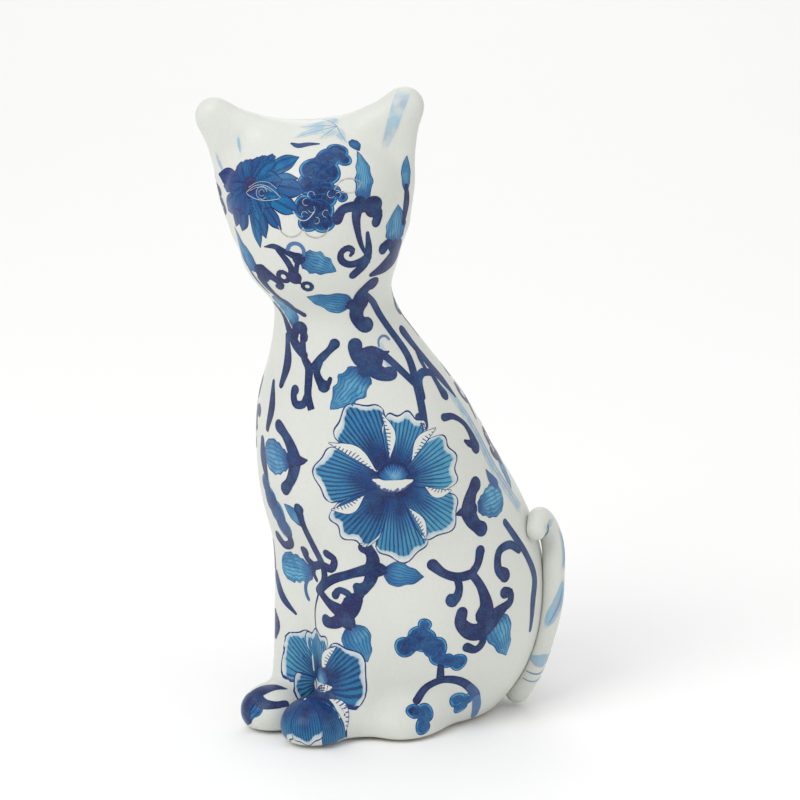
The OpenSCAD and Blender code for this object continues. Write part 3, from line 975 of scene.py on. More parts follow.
class Spot:
    """A place on the glaze with flat axes in mm, x to the right and y up as seen from outside."""
    seeds = np.random.default_rng(7)

    def __init__(self, group, point, turn=0.0, size=1.0, flip=False, shape=glaze_field):
        self.group, self.shape, self.size = group, shape, size
        self.point = point.reshape(3)
        normal = unit(gradient(shape, point))[0]
        pole = np.array([0, 0, 1.0]) if abs(normal[2]) < 0.95 else np.array([0, 1.0, 0])
        up = unit(pole - normal * (pole @ normal))
        right = np.cross(up, normal)
        c, s = math.cos(math.radians(turn)), math.sin(math.radians(turn))
        self.x_axis = (c * right + s * up) * (-1 if flip else 1)
        self.y_axis = c * up - s * right

    def lay(self, ink, flat, pattern, tone, length, level):
        """Notes a film by its flat grid. settle_films lays it on the glaze."""
        flat, pattern = flat * self.size, pattern * (1, self.size, self.size)
        start = unit(flat[..., :1] * self.x_axis + flat[..., 1:] * self.y_axis + 1e-9)
        films.append(dict(group=self.group, shape=self.shape, ink=ink, point=self.point, way=start,
                          reach=np.linalg.norm(flat, axis=-1), pattern=pattern, level=level,
                          tone=tone, seed=float(self.seeds.random()), length=length * self.size))

    def ribbon(self, points, widths, ink="stroke", tone=0.0, level=3, ends=ROUND_ENDS):
        """A stroke through points, with its half width at each."""
        line, half, place = soft_line(points, widths, ends)
        along = unit(np.gradient(line, axis=0))
        side = np.column_stack([along[:, 1], -along[:, 0]])
        columns = columns_for(half)
        flat = line[:, None] + side[:, None] * (half[:, None] * columns)[..., None]
        self.lay(ink, flat, band(half, place, columns), tone, place[-1], level)

    def curl(self, x, y, heading, length, bend, thick, thin, bulb, power=1.6, tone=0.0, level=3):
        """A tapering stroke that curls up, with a round bulb at its end."""
        points = swing(x, y, heading, length, bend, power)
        s = np.linspace(0, 1, len(points))
        widths = thick + (thin - thick) * s
        if bulb:
            widths = widths + (bulb - thin) * np.clip((s - 0.72) / 0.22, 0, 1) ** 1.5
        self.ribbon(points, widths, tone=tone, level=level)

    def leaf(self, x, y, heading, length, width, bend, tone, lobes, fan=False, ink="leaf", level=2):
        """A pointed leaf with a wavy edge, or a fan that is widest at its end."""
        points = swing(x, y, heading, length, bend, 1.0, 13)
        s = np.linspace(0, 1, 13)
        if fan:
            half = width / 2 * (0.30 + 0.75 * np.sin(np.pi / 2 * s) - 0.12 * s)
        else:
            half = width / 2 * np.sin(np.pi * s ** 0.72) ** 0.8
        waves = 1 + 0.09 * np.cos(math.tau * (lobes * s + 0.3)) + 0.05 * np.cos(21 * s + lobes)
        half = half * waves + 0.12
        half[-1] = half[-1] if fan else 0.1
        self.ribbon(points, half, ink, tone, level, ("flat", "round" if fan else "flat"))

    def lobe(self, x, y, radius, ink, tone=0.0, level=3):
        """A round blot with a rim of three waves."""
        n = 2 * int(radius / CELL) + 9
        a, b = np.meshgrid(np.linspace(-1, 1, n), np.linspace(-1, 1, n), indexing="ij")
        ring = np.maximum(np.abs(a), np.abs(b))
        angle = np.where(np.abs(a) > np.abs(b), math.pi / 4 * b / np.where(a == 0, 1, a),
                         math.pi / 2 - math.pi / 4 * a / np.where(b == 0, 1, b))
        angle = np.where((np.abs(a) > np.abs(b)) & (a < 0), angle + math.pi, angle)
        angle = np.where((np.abs(a) <= np.abs(b)) & (b < 0), angle + math.pi, angle)
        rim = radius * (1 + 0.04 * np.cos(3 * angle + x))
        flat = np.stack([x + ring * rim * np.cos(angle), y + ring * rim * np.sin(angle)], -1)
        pattern = np.stack([a, ring * radius, (1 - ring) * rim], -1)
        self.lay(ink, flat, pattern, tone, radius, level)

    def petal(self, heading, reach, spread, tone, scallops, level, start=1.5, ink="petal"):
        """A wedge from the middle of a flower, with a scalloped round end."""
        across, along = np.meshgrid(np.linspace(-1, 1, 2 * int(reach * math.radians(spread)) + 5),
                                    np.linspace(0, 1, int(reach / CELL) + 3), indexing="ij")
        rim = reach * (1 - 0.20 * np.abs(across) ** 3.2) * (1 + 0.042 * np.cos(scallops * math.pi * across))
        r = start + (rim - start) * along
        spread = math.radians(spread) * (1 + 0.10 * np.sin(math.pi * along))
        angle = math.radians(heading) + across * spread
        edge = np.minimum(rim - r, (1 - np.abs(across)) * spread * r)
        flat = np.stack([r * np.cos(angle), r * np.sin(angle)], -1)
        self.lay(ink, flat, np.stack([across, rim - r, edge], -1), tone, reach, level)


def vine(group, points, widths, tone=0.0, level=3, where=on_body, ink="stroke"):
    """A stroke through places given as turns and heights on the body, or as turns and rises on the head."""
    knots = where(*np.array(points, float).T)
    line, half, place = soft_line(knots, widths, ROUND_ENDS)
    line = settle(glaze_field, line, 3)
    normal = unit(gradient(glaze_field, line))
    side = unit(np.cross(np.gradient(line, axis=0), normal))
    columns = columns_for(half)
    grid = line[:, None] + side[:, None] * (half[:, None] * columns)[..., None]
    flat = settle(glaze_field, grid.reshape(-1, 3), 3)
    films.append(dict(group=group, shape=glaze_field, ink=ink, points=flat.reshape(grid.shape),
                      pattern=band(half, place, columns), level=level, tone=tone,
                      seed=float(Spot.seeds.random()), length=place[-1]))


def walk(shape, point, way, reach):
    """Walks from each point over the surface, the way it is told, as far as its reach."""
    steps = int(np.ceil(reach.max() / HOP)) if len(reach) else 0
    hop = (reach / max(steps, 1))[:, None]
    for _ in range(steps):
        point = point + way * hop
        value = shape(point)
        slope = np.stack([shape(point + HOP_PROBE * axis) - value for axis in np.eye(3)], -1) / HOP_PROBE
        square = (slope * slope).sum(1)[:, None]
        point = point - slope * value[:, None] / square
        way = unit(way - slope * (way * slope).sum(1)[:, None] / square)
    return point


def settle_films():
    """Finds the points of all films. Films of about the same reach walk together."""
    waiting = [f for f in films if "points" not in f]
    for shape in (glaze_field, tail_field):
        for low, high in ((0, 6), (6, 12), (12, 20), (20, 30), (30, 99)):
            batch = [f for f in waiting if f["shape"] is shape and low <= f["reach"].max() < high]
            if not batch:
                continue
            starts = [np.broadcast_to(f["point"], f["way"].shape).reshape(-1, 3) for f in batch]
            point = np.concatenate(starts)
            way = np.concatenate([f["way"].reshape(-1, 3) for f in batch])
            normal = unit(gradient(shape, point))
            way = unit(way - normal * (way * normal).sum(1)[:, None])
            found = walk(shape, point, way, np.concatenate([f["reach"].ravel() for f in batch]))
            found = settle(shape, found, 2)
            for f in batch:
                size = f["reach"].size
                f["points"], found = found[:size].reshape(f["way"].shape), found[size:]


def film_quads(grid, normals, start):
    """The faces of a film's grid, facing out. Its points are numbered from start."""
    n, m = grid.shape[:2]
    index = start + np.arange(n * m).reshape(n, m)
    quads = np.stack([index[:-1, :-1], index[1:, :-1], index[1:, 1:], index[:-1, 1:]], -1)
    middle = grid[n // 2, m // 2]
    facing = np.cross(middle - grid[n // 2 - 1, m // 2], middle - grid[n // 2, m // 2 - 1])
    if facing @ normals[(n // 2) * m + m // 2] < 0:
        quads = quads[..., ::-1]
    return quads.reshape(-1, 4)


def film_mesh(name, members, inks):
    """One mesh of all the films of a group, each at its own height over the glaze."""
    points, normals, faces, patterns, values, kinds = [], [], [], [], [], []
    start = 0
    for film in members:
        flat = film["points"].reshape(-1, 3)
        normal = unit(gradient(film["shape"], flat))
        quads = film_quads(film["points"], normal, start)
        points.append(flat + normal * (FILM + LAYER * film["level"]))
        normals.append(normal)
        faces.append(quads)
        patterns.append(film["pattern"].reshape(-1, 3))
        values.append(np.broadcast_to((film["tone"], film["seed"], film["length"]), flat.shape))
        kinds.append(np.full(len(quads), inks.index(film["ink"])))
        start += len(flat)
    points, faces, normals = (np.concatenate(rows) for rows in (points, faces, normals))
    mesh = bpy.data.meshes.new(name)
    mesh.from_pydata(points.tolist(), [], faces.tolist())
    for key, data in (("pat", patterns), ("ink", values)):
        attribute = mesh.attributes.new(key, "FLOAT_VECTOR", "POINT")
        attribute.data.foreach_set("vector", np.concatenate(data).ravel())
    mesh.polygons.foreach_set("material_index", np.concatenate(kinds))
    finish_mesh(mesh, points, normals[read(mesh.loops, "vertex_index", kind=int)])
    return mesh


def make_films():
    """Makes one piece of each group of films."""
    settle_films()
    for group in sorted({film["group"] for film in films}):
        members = [film for film in films if film["group"] == group]
        inks = sorted({film["ink"] for film in members})
        name = "painting_" + group
        show(name, film_mesh(name, members, inks), [INKS[ink] for ink in inks])


# ---- Motifs ----
def calyx(spot, arm=9.0, rise=52, bend=118, thick=1.9, bulb=2.3, tone=0.0, stem=3.0):
    """The dark cup under a leaf: two thick arms that rise and curl down, on a short stem."""
    for side in (1, -1):
        spot.curl(0, -0.8, 90 - side * rise, arm, -side * bend, thick * 1.2, thick * 0.72, bulb, 1.3, tone)
        spot.curl(side * 1.2, 0.2, 90 - side * 10, 4.2, side * 30, thick * 0.9, 0.3, 0, 1.0, tone, 4)
    spot.ribbon([(0, -stem), (0, -0.8), (0, 2.0)], [1.0, 2.0, 2.3], tone=tone, level=4)


def anchor(spot, span=9.0, thick=2.0, bulb=2.2):
    """A dark crescent with a bulb at each end and a point in the middle of its outer side."""
    for side in (1, -1):
        spot.curl(0, 0.2, 90 - side * 82, span, side * 48, thick * 1.35, thick * 0.75, bulb, 1.0)
    spot.ribbon([(0, -5.4), (-0.3, -2.6), (0, 1.2)], [0.2, 1.6, 3.0], level=4, ends=("flat", "round"))


def sprig(spot, length, width, tone, sway, lobes=2, fan=False, crescent=False, **arms):
    """A leaf or a fan that grows from a dark calyx or crescent."""
    spot.leaf(0, 0, 90 - sway / 2, length, width, sway, tone, lobes, fan)
    base = anchor if crescent else calyx
    base(spot, **arms)


def hook(spot, points, thick, bulb, tone=0.0, start=None):
    """A stroke through points that ends in a round bulb."""
    widths = [thick] * len(points)
    widths[0] = thick if start is None else start
    widths[-1] = bulb
    widths[-2] = (thick + bulb) / 2.3
    spot.ribbon(points, widths, tone=tone)


def peony_heart(spot, reach):
    """A light dome with a white lip and a navy shadow below it."""
    r = reach / 26
    spot.ribbon([(-5.6 * r, -1.2 * r), (-2.4 * r, -3.4 * r), (2.4 * r, -3.6 * r), (5.8 * r, -1.6 * r)],
                [0.6 * r, 2.2 * r, 2.2 * r, 0.6 * r], level=6)
    spot.ribbon([(-6.6 * r, 0.3 * r), (-2.6 * r, -1.3 * r), (2.4 * r, -1.5 * r), (6.2 * r, -0.3 * r)],
                [0.4 * r, 2.3 * r, 2.1 * r, 0.4 * r], "fold", 2.0, 7)
    spot.petal(90, reach * 0.25, 80, 0.8, 5, 8, 0.2, "heart")


def peony(spot, petals, folds, reach=26.0, heart=True):
    """The broad petals of a peony and their turned edges, round its heart."""
    for heading, share, spread, tone, level in petals:
        spot.petal(heading, reach * share, spread, tone, 2 + round(spread) % 2, level)
    for heading, inner, outer, width, flip in folds:
        c, s = math.cos(math.radians(heading)), math.sin(math.radians(heading))
        side = width * (0.5 if flip else -0.5)
        middle = reach * (inner + outer) / 2
        line = [(c * reach * inner, s * reach * inner), (c * middle - s * side, s * middle + c * side),
                (c * reach * outer, s * reach * outer)]
        spot.ribbon(line, [0.2, width / 2, 0.25], "fold", float(flip), 6, FLAT_ENDS)
    if heart:
        peony_heart(spot, reach)


def mum(spot, count, reach, width, tone, cut=None):
    """A chrysanthemum: two rows of pointed petals. A cut ends them at a line this way and this far."""
    spot.lobe(0, 0, 3.0, "stroke", 0.05, 6)
    for row, (row_reach, shift) in enumerate(((1.0, 0.0), (0.60, 0.5))):
        for i in range(count):
            heading = math.radians(360 * (i + shift) / count + 5 * math.cos(i * 2.4))
            long = reach * row_reach * (1 + 0.09 * math.cos(i * 2.4))
            half, tip = width * (0.5 + 0.08 * math.cos(i * 3.1)), 0.12
            if cut:
                limit = cut[1] / max(math.cos(heading - math.radians(cut[0])), 0.05)
                if limit < long:
                    long, tip = limit, half * 0.5
            c, s = math.cos(heading), math.sin(heading)
            line = [(c * long * share, s * long * share) for share in (0.06, 0.45, 0.78, 1.0)]
            shade = tone + 0.45 * math.cos(i * 1.7) - 0.35 * c
            widths = [half * 0.3, half * 0.8, half, tip]
            spot.ribbon(line, widths, "mum", shade, 2 + 2 * row, FLAT_ENDS)


def cloud(spot, lobes, rim=0.8):
    """Round lobes that run together: one light rim round them all, dark in the middle."""
    for i, (x, y, radius, tone) in enumerate(lobes):
        spot.lobe(x, y, radius, "halo", tone, 1)
        spot.lobe(x, y, radius - rim, "cloud", tone, 3 + i % 3)
    for (x, y, a, tone), (u, v, b, other) in zip(lobes, lobes[1:]):
        if math.hypot(x - u, y - v) < a + b:
            neck = min(a, b) - rim - 0.2
            line = [(x, y), ((x + u) / 2, (y + v) / 2), (u, v)]
            spot.ribbon(line, [neck] * 3, "cloud", (tone + other) / 2, 6, FLAT_ENDS)


def scallops(spot, lobes):
    """Thin light rims of the lobes inside a cloud."""
    for x, y, radius, heading, sweep in lobes:
        angle = np.radians(heading + np.linspace(-sweep / 2, sweep / 2, 7))
        spot.ribbon(arc(x, y, radius, angle), [0.28] * 7, "halo", 0.2, 9)


def ring(spot, x, y, radius, thick):
    """A small open ring, drawn as one turn of a curl."""
    spot.curl(x, y - radius, 0, math.tau * radius * 0.97, 350, thick, thick, 0, 1.0)


def antler(spot):
    """A forked vine with a bulb on every tip."""
    spot.ribbon([(0, 0), (3.4, 3.6), (6.2, 6.6), (8.0, 9.0)], [1.2, 1.5, 1.3, 1.9])
    spot.ribbon([(-4.4, 10), (-4.0, 3.4), (-1.6, -0.4), (-1.2, -5), (-0.8, -10), (1.2, -15)],
                [1.2, 1.4, 1.7, 1.6, 1.5, 1.4], ends=("round", "flat"))
    hook(spot, [(2.6, 2.6), (1.8, -1.4), (3.4, -4.6), (5.2, -6.2)], 1.4, 2.3, 0.0, 1.6)
    spot.ribbon([(4.6, -6.4), (6.6, -5.2), (7.2, -3.4)], [1.8, 1.1, 0.8])
    hook(spot, [(-0.9, -10), (-2.4, -13.4), (-5.8, -13.8), (-7.2, -11), (-6.8, -9)], 1.5, 1.9, 0.0, 1.5)


def thistle(spot, tone=0.0):
    """A forked vine that swells to a dark cup, with a hatched leaf under it."""
    spot.leaf(8.2, -15.5, -62, 18.5, 11, -4, 0.15, 2)
    spot.ribbon([(-14, 4.6), (-10, 1.2), (-5, -0.6), (0, -0.2)], [2.0, 1.5, 1.6, 1.7], tone=tone)
    spot.ribbon([(0, -0.2), (2.6, 3), (3.8, 7.2)], [1.6, 1.5, 1.9], tone=tone)
    hook(spot, [(-5.6, -0.4), (-4.8, -4), (-5.6, -7), (-7.4, -8.2)], 1.4, 2.5, tone)
    spot.ribbon([(0, 0), (3.4, -5), (5.4, -11), (5.0, -15)], [1.5, 1.7, 2.6, 4.0], tone=tone, level=4)
    spot.ribbon([(-4.0, -13.0), (-4.4, -16.6), (-1.0, -20), (3.4, -20.4), (7.2, -17.6), (11, -15),
                 (14.2, -13.4)], [2.1, 2.3, 2.9, 3.2, 3.4, 2.4, 1.6], tone=tone)
    hook(spot, [(13.2, -13.8), (16.2, -12.4), (16.4, -9.4), (13.6, -8.8)], 1.6, 2.1, tone)
    hook(spot, [(3.8, -20), (4.4, -24.6), (1.8, -27), (-1.8, -25.6)], 1.5, 1.7, tone)


def spray(spot):
    """An S-shaped vine with two hooks and a leaf at its end."""
    tone = 0.1
    sprig(spot, 15, 8, 0.25, 10, arm=8.5)
    spot.ribbon([(0, -1), (-1.4, -7), (1.0, -13), (5.4, -17), (6.6, -23)],
                [1.6, 1.4, 1.4, 1.3, 0.5], tone=tone)
    hook(spot, [(-0.4, -10), (-4.4, -11.6), (-7.4, -9.6), (-6.4, -6.6)], 1.3, 2.1, tone)
    hook(spot, [(4.0, -16), (8.4, -15), (10.6, -11.6), (8.6, -9)], 1.3, 2.1, tone)


def face_lines():
    """Eyes, nose and mouth, drawn as fine lines: pale over the flower, grey on white, where the grey is
    partly painted shade of the grooves.
    """
    left = Spot("face", on_head(-31, 7))
    for points, half in (([(-6.3, -0.6), (-3, 1.9), (1, 2.5), (4.5, 1.2), (7.4, -0.8)], 0.09),
                         ([(-6.0, -0.9), (-3, -2.0), (1, -2.4), (4.5, -1.9), (7.0, -1.2)], 0.09),
                         ([(-5.4, 1.2), (-2, 3.2), (2, 3.6), (5.6, 2.0)], 0.07),
                         ([(-4.6, 0.2), (-2, 1.5), (1.4, 1.8), (4.0, 0.8)], 0.06)):
        left.ribbon(points, [half] * len(points), "line", 0.8, 9)
    left.lobe(0.6, 0, 1.0, ink="stroke", level=8)
    for radius, half in ((2.1, 0.08), (1.1, 0.06)):
        left.ribbon(arc(0.2, 0, radius, np.linspace(0.3, 5.6, 13)), [half] * 13, "line", 0.8, 9)
    right = Spot("face", on_head(33, 9))
    right.ribbon([(-5.0, -1.2), (-2.6, 1.4), (0.8, 2.0), (4.4, 0.6)], [0.14] * 4, "line", 0.0, 9)
    right.ribbon([(-5.0, -1.2), (-1.8, -2.4), (1.6, -2.4), (4.4, 0.6)], [0.08] * 4, "line", 0.0, 9)
    nose = Spot("face", on_head(0, -8))
    nose.ribbon([(-3.4, 1.6), (-1.6, -0.6), (0, -1.2), (1.6, -0.6), (3.4, 1.6)], [0.15] * 5, "line", 0.8, 9)
    mouth = Spot("face", on_head(-1, -17))
    for side in (1, -1):
        lip = [(0, 1.6), (1.4 * side, -0.7), (4.4 * side, -1.7), (7.2 * side, -0.4), (8.4 * side, 1.6)]
        mouth.ribbon(lip, [0.15] * 5, "line", 0.0, 9)


def paint_face():
    """A chrysanthemum on the right side, a cloud down the nose and leaves on the left cheek."""
    mum(Spot("face", on_head(-42, 11)), 17, 19.2, 5.6, 0.45, (109, 9.4))
    nose = Spot("face", on_head(14, 12))
    cloud(nose, [(7.6, 8.8, 2.5, 1.0), (5.2, 11.6, 3.8, 0.7), (2.0, 9.0, 4.0, 0.8), (-3.0, 5.0, 4.2, 0.6),
                 (1.4, 4.2, 4.8, 0.9), (-4.6, 0.2, 3.6, 0.7), (-0.6, -1.8, 4.8, 1.0), (4.0, -2.6, 2.4, 1.0),
                 (6.8, -4.0, 1.8, 1.0), (2.0, -4.4, 3.0, 1.0), (-5.4, -7.2, 4.0, 0.9), (-1.0, -8.6, 5.0, 1.0),
                 (0.6, -11.8, 3.9, 0.9), (-4.4, -12.0, 3.4, 1.0)])
    scallops(nose, [(5.2, 11.6, 2.7, 110, 200), (2.4, 8.4, 2.8, 120, 190), (-2.8, 4.8, 2.9, 130, 200),
                    (1.0, 2.6, 2.6, 100, 170), (-4.4, 0.2, 2.4, 150, 190), (-1.2, -2.6, 2.4, 130, 150)])
    for x, y, radius, heading in ((-5.0, -5.6, 1.2, 80), (-3.2, -8.0, 1.1, 200), (-5.6, -9.6, 1.0, 20),
                                  (-1.8, -11.6, 1.1, 250), (1.4, -9.4, 1.2, 60), (3.0, -3.2, 1.2, 120),
                                  (5.4, -3.4, 0.9, 300), (-3.4, -3.4, 1.2, 0)):
        angle = np.radians(heading + np.linspace(0, 210, 7))
        nose.ribbon(arc(x, y, radius, angle), [0.07] * 7, "line", 0.7, 9)
    brow = Spot("face", on_head(1, 47))
    brow.ribbon([(-4.6, 0.6), (-2, -0.6), (1, 0.2), (4.6, 0.9)], [0.4, 1.1, 0.9, 0.3], tone=0.15)
    Spot("face", on_head(54, 36)).leaf(0, 2.8, -98, 5.4, 4.0, 20, 1.0, 1)
    leaf = Spot("face", on_head(38, -9))
    leaf.leaf(0.2, 2.5, 70, 18, 6.2, 26, 0.1, 4)
    leaf.lobe(5.0, 0.8, 3.6, ink="stroke")
    leaf.ribbon([(5.4, 0), (7.2, -2.4), (6.6, -4.6)], [2.6, 2.0, 1.9])
    hook(leaf, [(1.0, 1.2), (-2.6, 1.4), (-6.0, 0.6), (-8.0, -2.2)], 1.7, 1.9, 0.0, 2.2)
    leaf.ribbon([(0, 2.6), (-1.2, -2), (-0.6, -7), (1.0, -12), (4.4, -18)],
                [2.2, 1.7, 1.2, 0.8, 0.12], level=4)
    lower = Spot("face", on_head(38, -36))
    lower.ribbon([(1.6, 7.5), (2.0, 2), (0.8, -2.4), (-2.8, -6.4)], [0.7, 1.4, 1.6, 1.5])
    lower.ribbon([(1.8, -0.6), (-1.6, -2.0), (-4.8, -2.4), (-7.6, -0.8), (-8.0, 2.0), (-5.8, 3.4),
                  (-3.8, 2.2), (-4.6, 0.8)], [1.5, 1.3, 1.2, 1.2, 1.1, 1.1, 1.0, 0.6])
    side = Spot("face", on_head(66, -36))
    side.leaf(1.0, 0.5, 80, 13.5, 11.5, 14, 0.15, 3)
    side.ribbon([(5.4, -0.5), (2.4, -3.0), (-2.8, -6.0), (-8.4, -8.6)], [2.2, 3.4, 2.8, 1.0], level=4)
    hook(side, [(2.0, -2.6), (-2.4, 1.4), (-5.4, 0.2)], 1.8, 2.0, 0.0, 2.4)
    side.lobe(1.6, -0.6, 2.8, ink="stroke")
    edge = Spot("face", on_head(79, -8))
    edge.leaf(0, 1, 92, 12, 4.2, -14, 0.2, 1)
    edge.ribbon([(0, 3), (1.0, -3), (0.6, -9.5)], [0.9, 1.6, 0.9])
    chin = Spot("face", on_head(-6, -32))
    chin.leaf(0.6, 0.6, -22, 13, 8.4, -16, 0.25, 4)
    chin.ribbon([(-13, 1.8), (-8.4, 3.2), (-3.8, 1.9), (0, 0.4)], [0.2, 1.0, 1.0, 1.6])
    chin.ribbon([(-8.0, 2.6), (-4.6, -0.6), (-2.8, -4.2), (-2.4, -7.2)], [0.5, 1.2, 1.3, 2.4])
    chin.lobe(-2.4, -7.6, 2.7, ink="stroke")
    chin.lobe(0, 0, 2.2, ink="stroke")
    ring(chin, -6.2, -7.8, 1.9, 0.9)
    chin.curl(-0.4, -1.0, 255, 9, 35, 0.9, 0.5, 0)
    ring(chin, 1.6, -11.2, 1.6, 0.75)
    chin.curl(-3.4, 3.2, 80, 9.5, -200, 0.7, 0.6, 0, 1.0, 0.5)
    cheek = Spot("face", on_head(-38, -43))
    cheek.leaf(-2.0, 1.0, 152, 19, 6.6, -22, 0.3, 2)
    cheek.lobe(-0.6, 0.4, 3.4, ink="stroke")
    hook(cheek, [(0, 1.4), (3.8, -0.6), (5.8, -3.4), (4.4, -4.6)], 1.6, 1.4, 0.0, 2.6)
    vine("face", [(-43, -46), (-40, -55), (-32, -64), (-20, -68)], [2.0, 1.3, 1.1, 1.1], where=on_head)
    vine("face", [(-58, -34), (-52, -46), (-48, -56)], [0.3, 0.7, 0.3], 0.2, where=on_head)


def paint_ears():
    """Strokes on the ears and the crown, and a chrysanthemum with vines on the back of the head."""
    left = Spot("ears", on_head(80, 34))
    left.ribbon([(2.2, 11), (0.4, 5), (-2.0, -3), (-4.8, -10)], [3.1, 2.6, 2.1, 1.0], "wash", 0.85, 0,
                FLAT_ENDS)
    Spot("ears", on_head(96, 26)).ribbon([(1, 3), (-1, -1), (-0.4, -4)], [0.5, 1.0, 0.3], tone=0.7)
    right = Spot("ears", near(*(HEAD + HEAD_AXES @ (-30, -6, 18))))
    right.ribbon([(6.6, 1.4), (7.0, -2), (8.6, -6)], [0.5, 0.8, 0.3], "wash", 1.6, 0)
    right.ribbon([(-1.8, -5.0), (0, -9), (2.8, -13)], [0.5, 0.9, 0.3], "wash", 1.5, 0)
    crown = Spot("ears", on_head(58, 60))
    for heading, length, width in ((200, 15, 5.0), (172, 13, 5.4), (230, 9, 5.0), (130, 9, 4.6),
                                   (292, 9, 3.6)):
        crown.leaf(0, 0, heading, length, width, 14, 0.85, 2, ink="wash", level=1)
        crown.curl(0, 0, heading + 4, length * 0.9, 10, 0.14, 0.1, 0, 1.0, 0.75, 2)
    back = Spot("ears", on_head(180, 30))
    mum(back, 13, 12, 5.4, 0.4)
    for side in (1, -1):
        sprig(Spot("ears", on_head(180 - 48 * side, 22), -40 * side, 0.9, side < 0), 13, 7, 0.3, 8)
        shade = Spot("ears", on_head(180 - 72 * side, 42), 20 * side)
        shade.ribbon([(0, 6), (1, 0), (0, -6)], [1.6, 2, 0.8], "wash", 0.9, 0)
    spray(Spot("ears", on_head(-92, 0), 8, 0.75, True))
    thistle(Spot("ears", on_head(168, -2), 0, 0.7, True))
    hook(Spot("ears", on_head(-150, -20)), [(4, 6), (1, 2), (-3, 0), (-5, -4)], 1.2, 2.0)
    cloud(Spot("ears", on_head(124, -14), 20, 0.7), [(-4, 0, 3.4, 0.4), (0, 1.6, 4, 0.6), (4, 0, 3.4, 0.3)])
    hook(Spot("ears", on_head(-112, -30)), [(-5, 3), (-1, 0.5), (3, -1), (5, -5)], 1.3, 2.2)


def paint_neck():
    """Leaves and vines round the neck, and a small fan on the throat."""
    top = Spot("neck", on_body(72, 151), 90)
    top.leaf(0, 2, 84, 16, 8.6, 8, 0.35, 2)
    calyx(top, 9.5, 64, 100, 2.5, 2.7, 0.0, 1.0)
    vine("neck", [(80, 154), (88, 150), (94, 142), (95, 132), (88, 122), (81, 110)],
         [0.9, 1.2, 1.4, 1.6, 1.6, 1.5], 0.12)
    vine("neck", [(109, 139), (109, 134), (111, 128), (114, 122), (116, 116)],
         [2.2, 1.7, 1.8, 2.0, 0.6], 0.12)
    vine("neck", [(109, 133), (105, 130), (104, 127)], [1.3, 1.1, 0.9], 0.12)
    vine("neck", [(88, 119), (92, 124), (99, 126), (108, 125)], [1.3, 1.5, 1.5, 1.3], 0.1)
    vine("neck", [(107, 125), (106, 121), (106, 118)], [1.2, 1.4, 2.2], 0.1)
    Spot("neck", on_body(82, 140)).curl(-1, -4, 100, 7, -170, 0.35, 0.5, 0, 1.2, 0.6)
    Spot("neck", on_body(82, 140)).ribbon([(0, -2), (0.4, -8), (2.6, -14)], [0.4, 1.6, 0.3], "wash", 0.9, 1)
    tulip = Spot("neck", on_body(3, 142), 6)
    tulip.leaf(0.6, -1, 88, 10.5, 8.4, 0, 0.05, 4, fan=True)
    tulip.ribbon([(-6.0, 7.2), (-4.4, 4), (-3.0, -1), (-0.4, -6), (3.2, -10)], [1.4, 1.0, 1.6, 2.0, 1.6])
    hook(tulip, [(-0.8, -5), (1.0, -1.4), (3.4, -0.8)], 1.6, 2.5)
    tulip.ribbon([(3.8, -2.4), (4.6, -4.2), (3.2, -5.6)], [1.6, 1.0, 0.8])
    antler(Spot("neck", on_body(20, 129), 0, 0.94))
    shoulder = Spot("neck", on_body(62, 130.5), 140)
    shoulder.leaf(0.5, 1.5, 96, 18, 10.5, -18, 0.15, 4)
    calyx(shoulder, 8.5, 66, 84, 2.7, 2.4, 0.12, 0.5)
    shoulder.ribbon([(-1.6, -1), (-1.2, -4.4), (-2.8, -8)], [2.6, 1.8, 0.3], tone=0.1)
    vine("neck", [(62, 134), (70, 135), (78, 132), (88, 123)], [2.2, 1.5, 1.3, 1.3], 0.1)
    vine("neck", [(-7, 138), (-5, 129), (-8, 121)], [0.9, 2.0, 1.2])
    vine("neck", [(-18, 121), (-14, 113), (-17, 105)], [0.9, 2.0, 1.2])


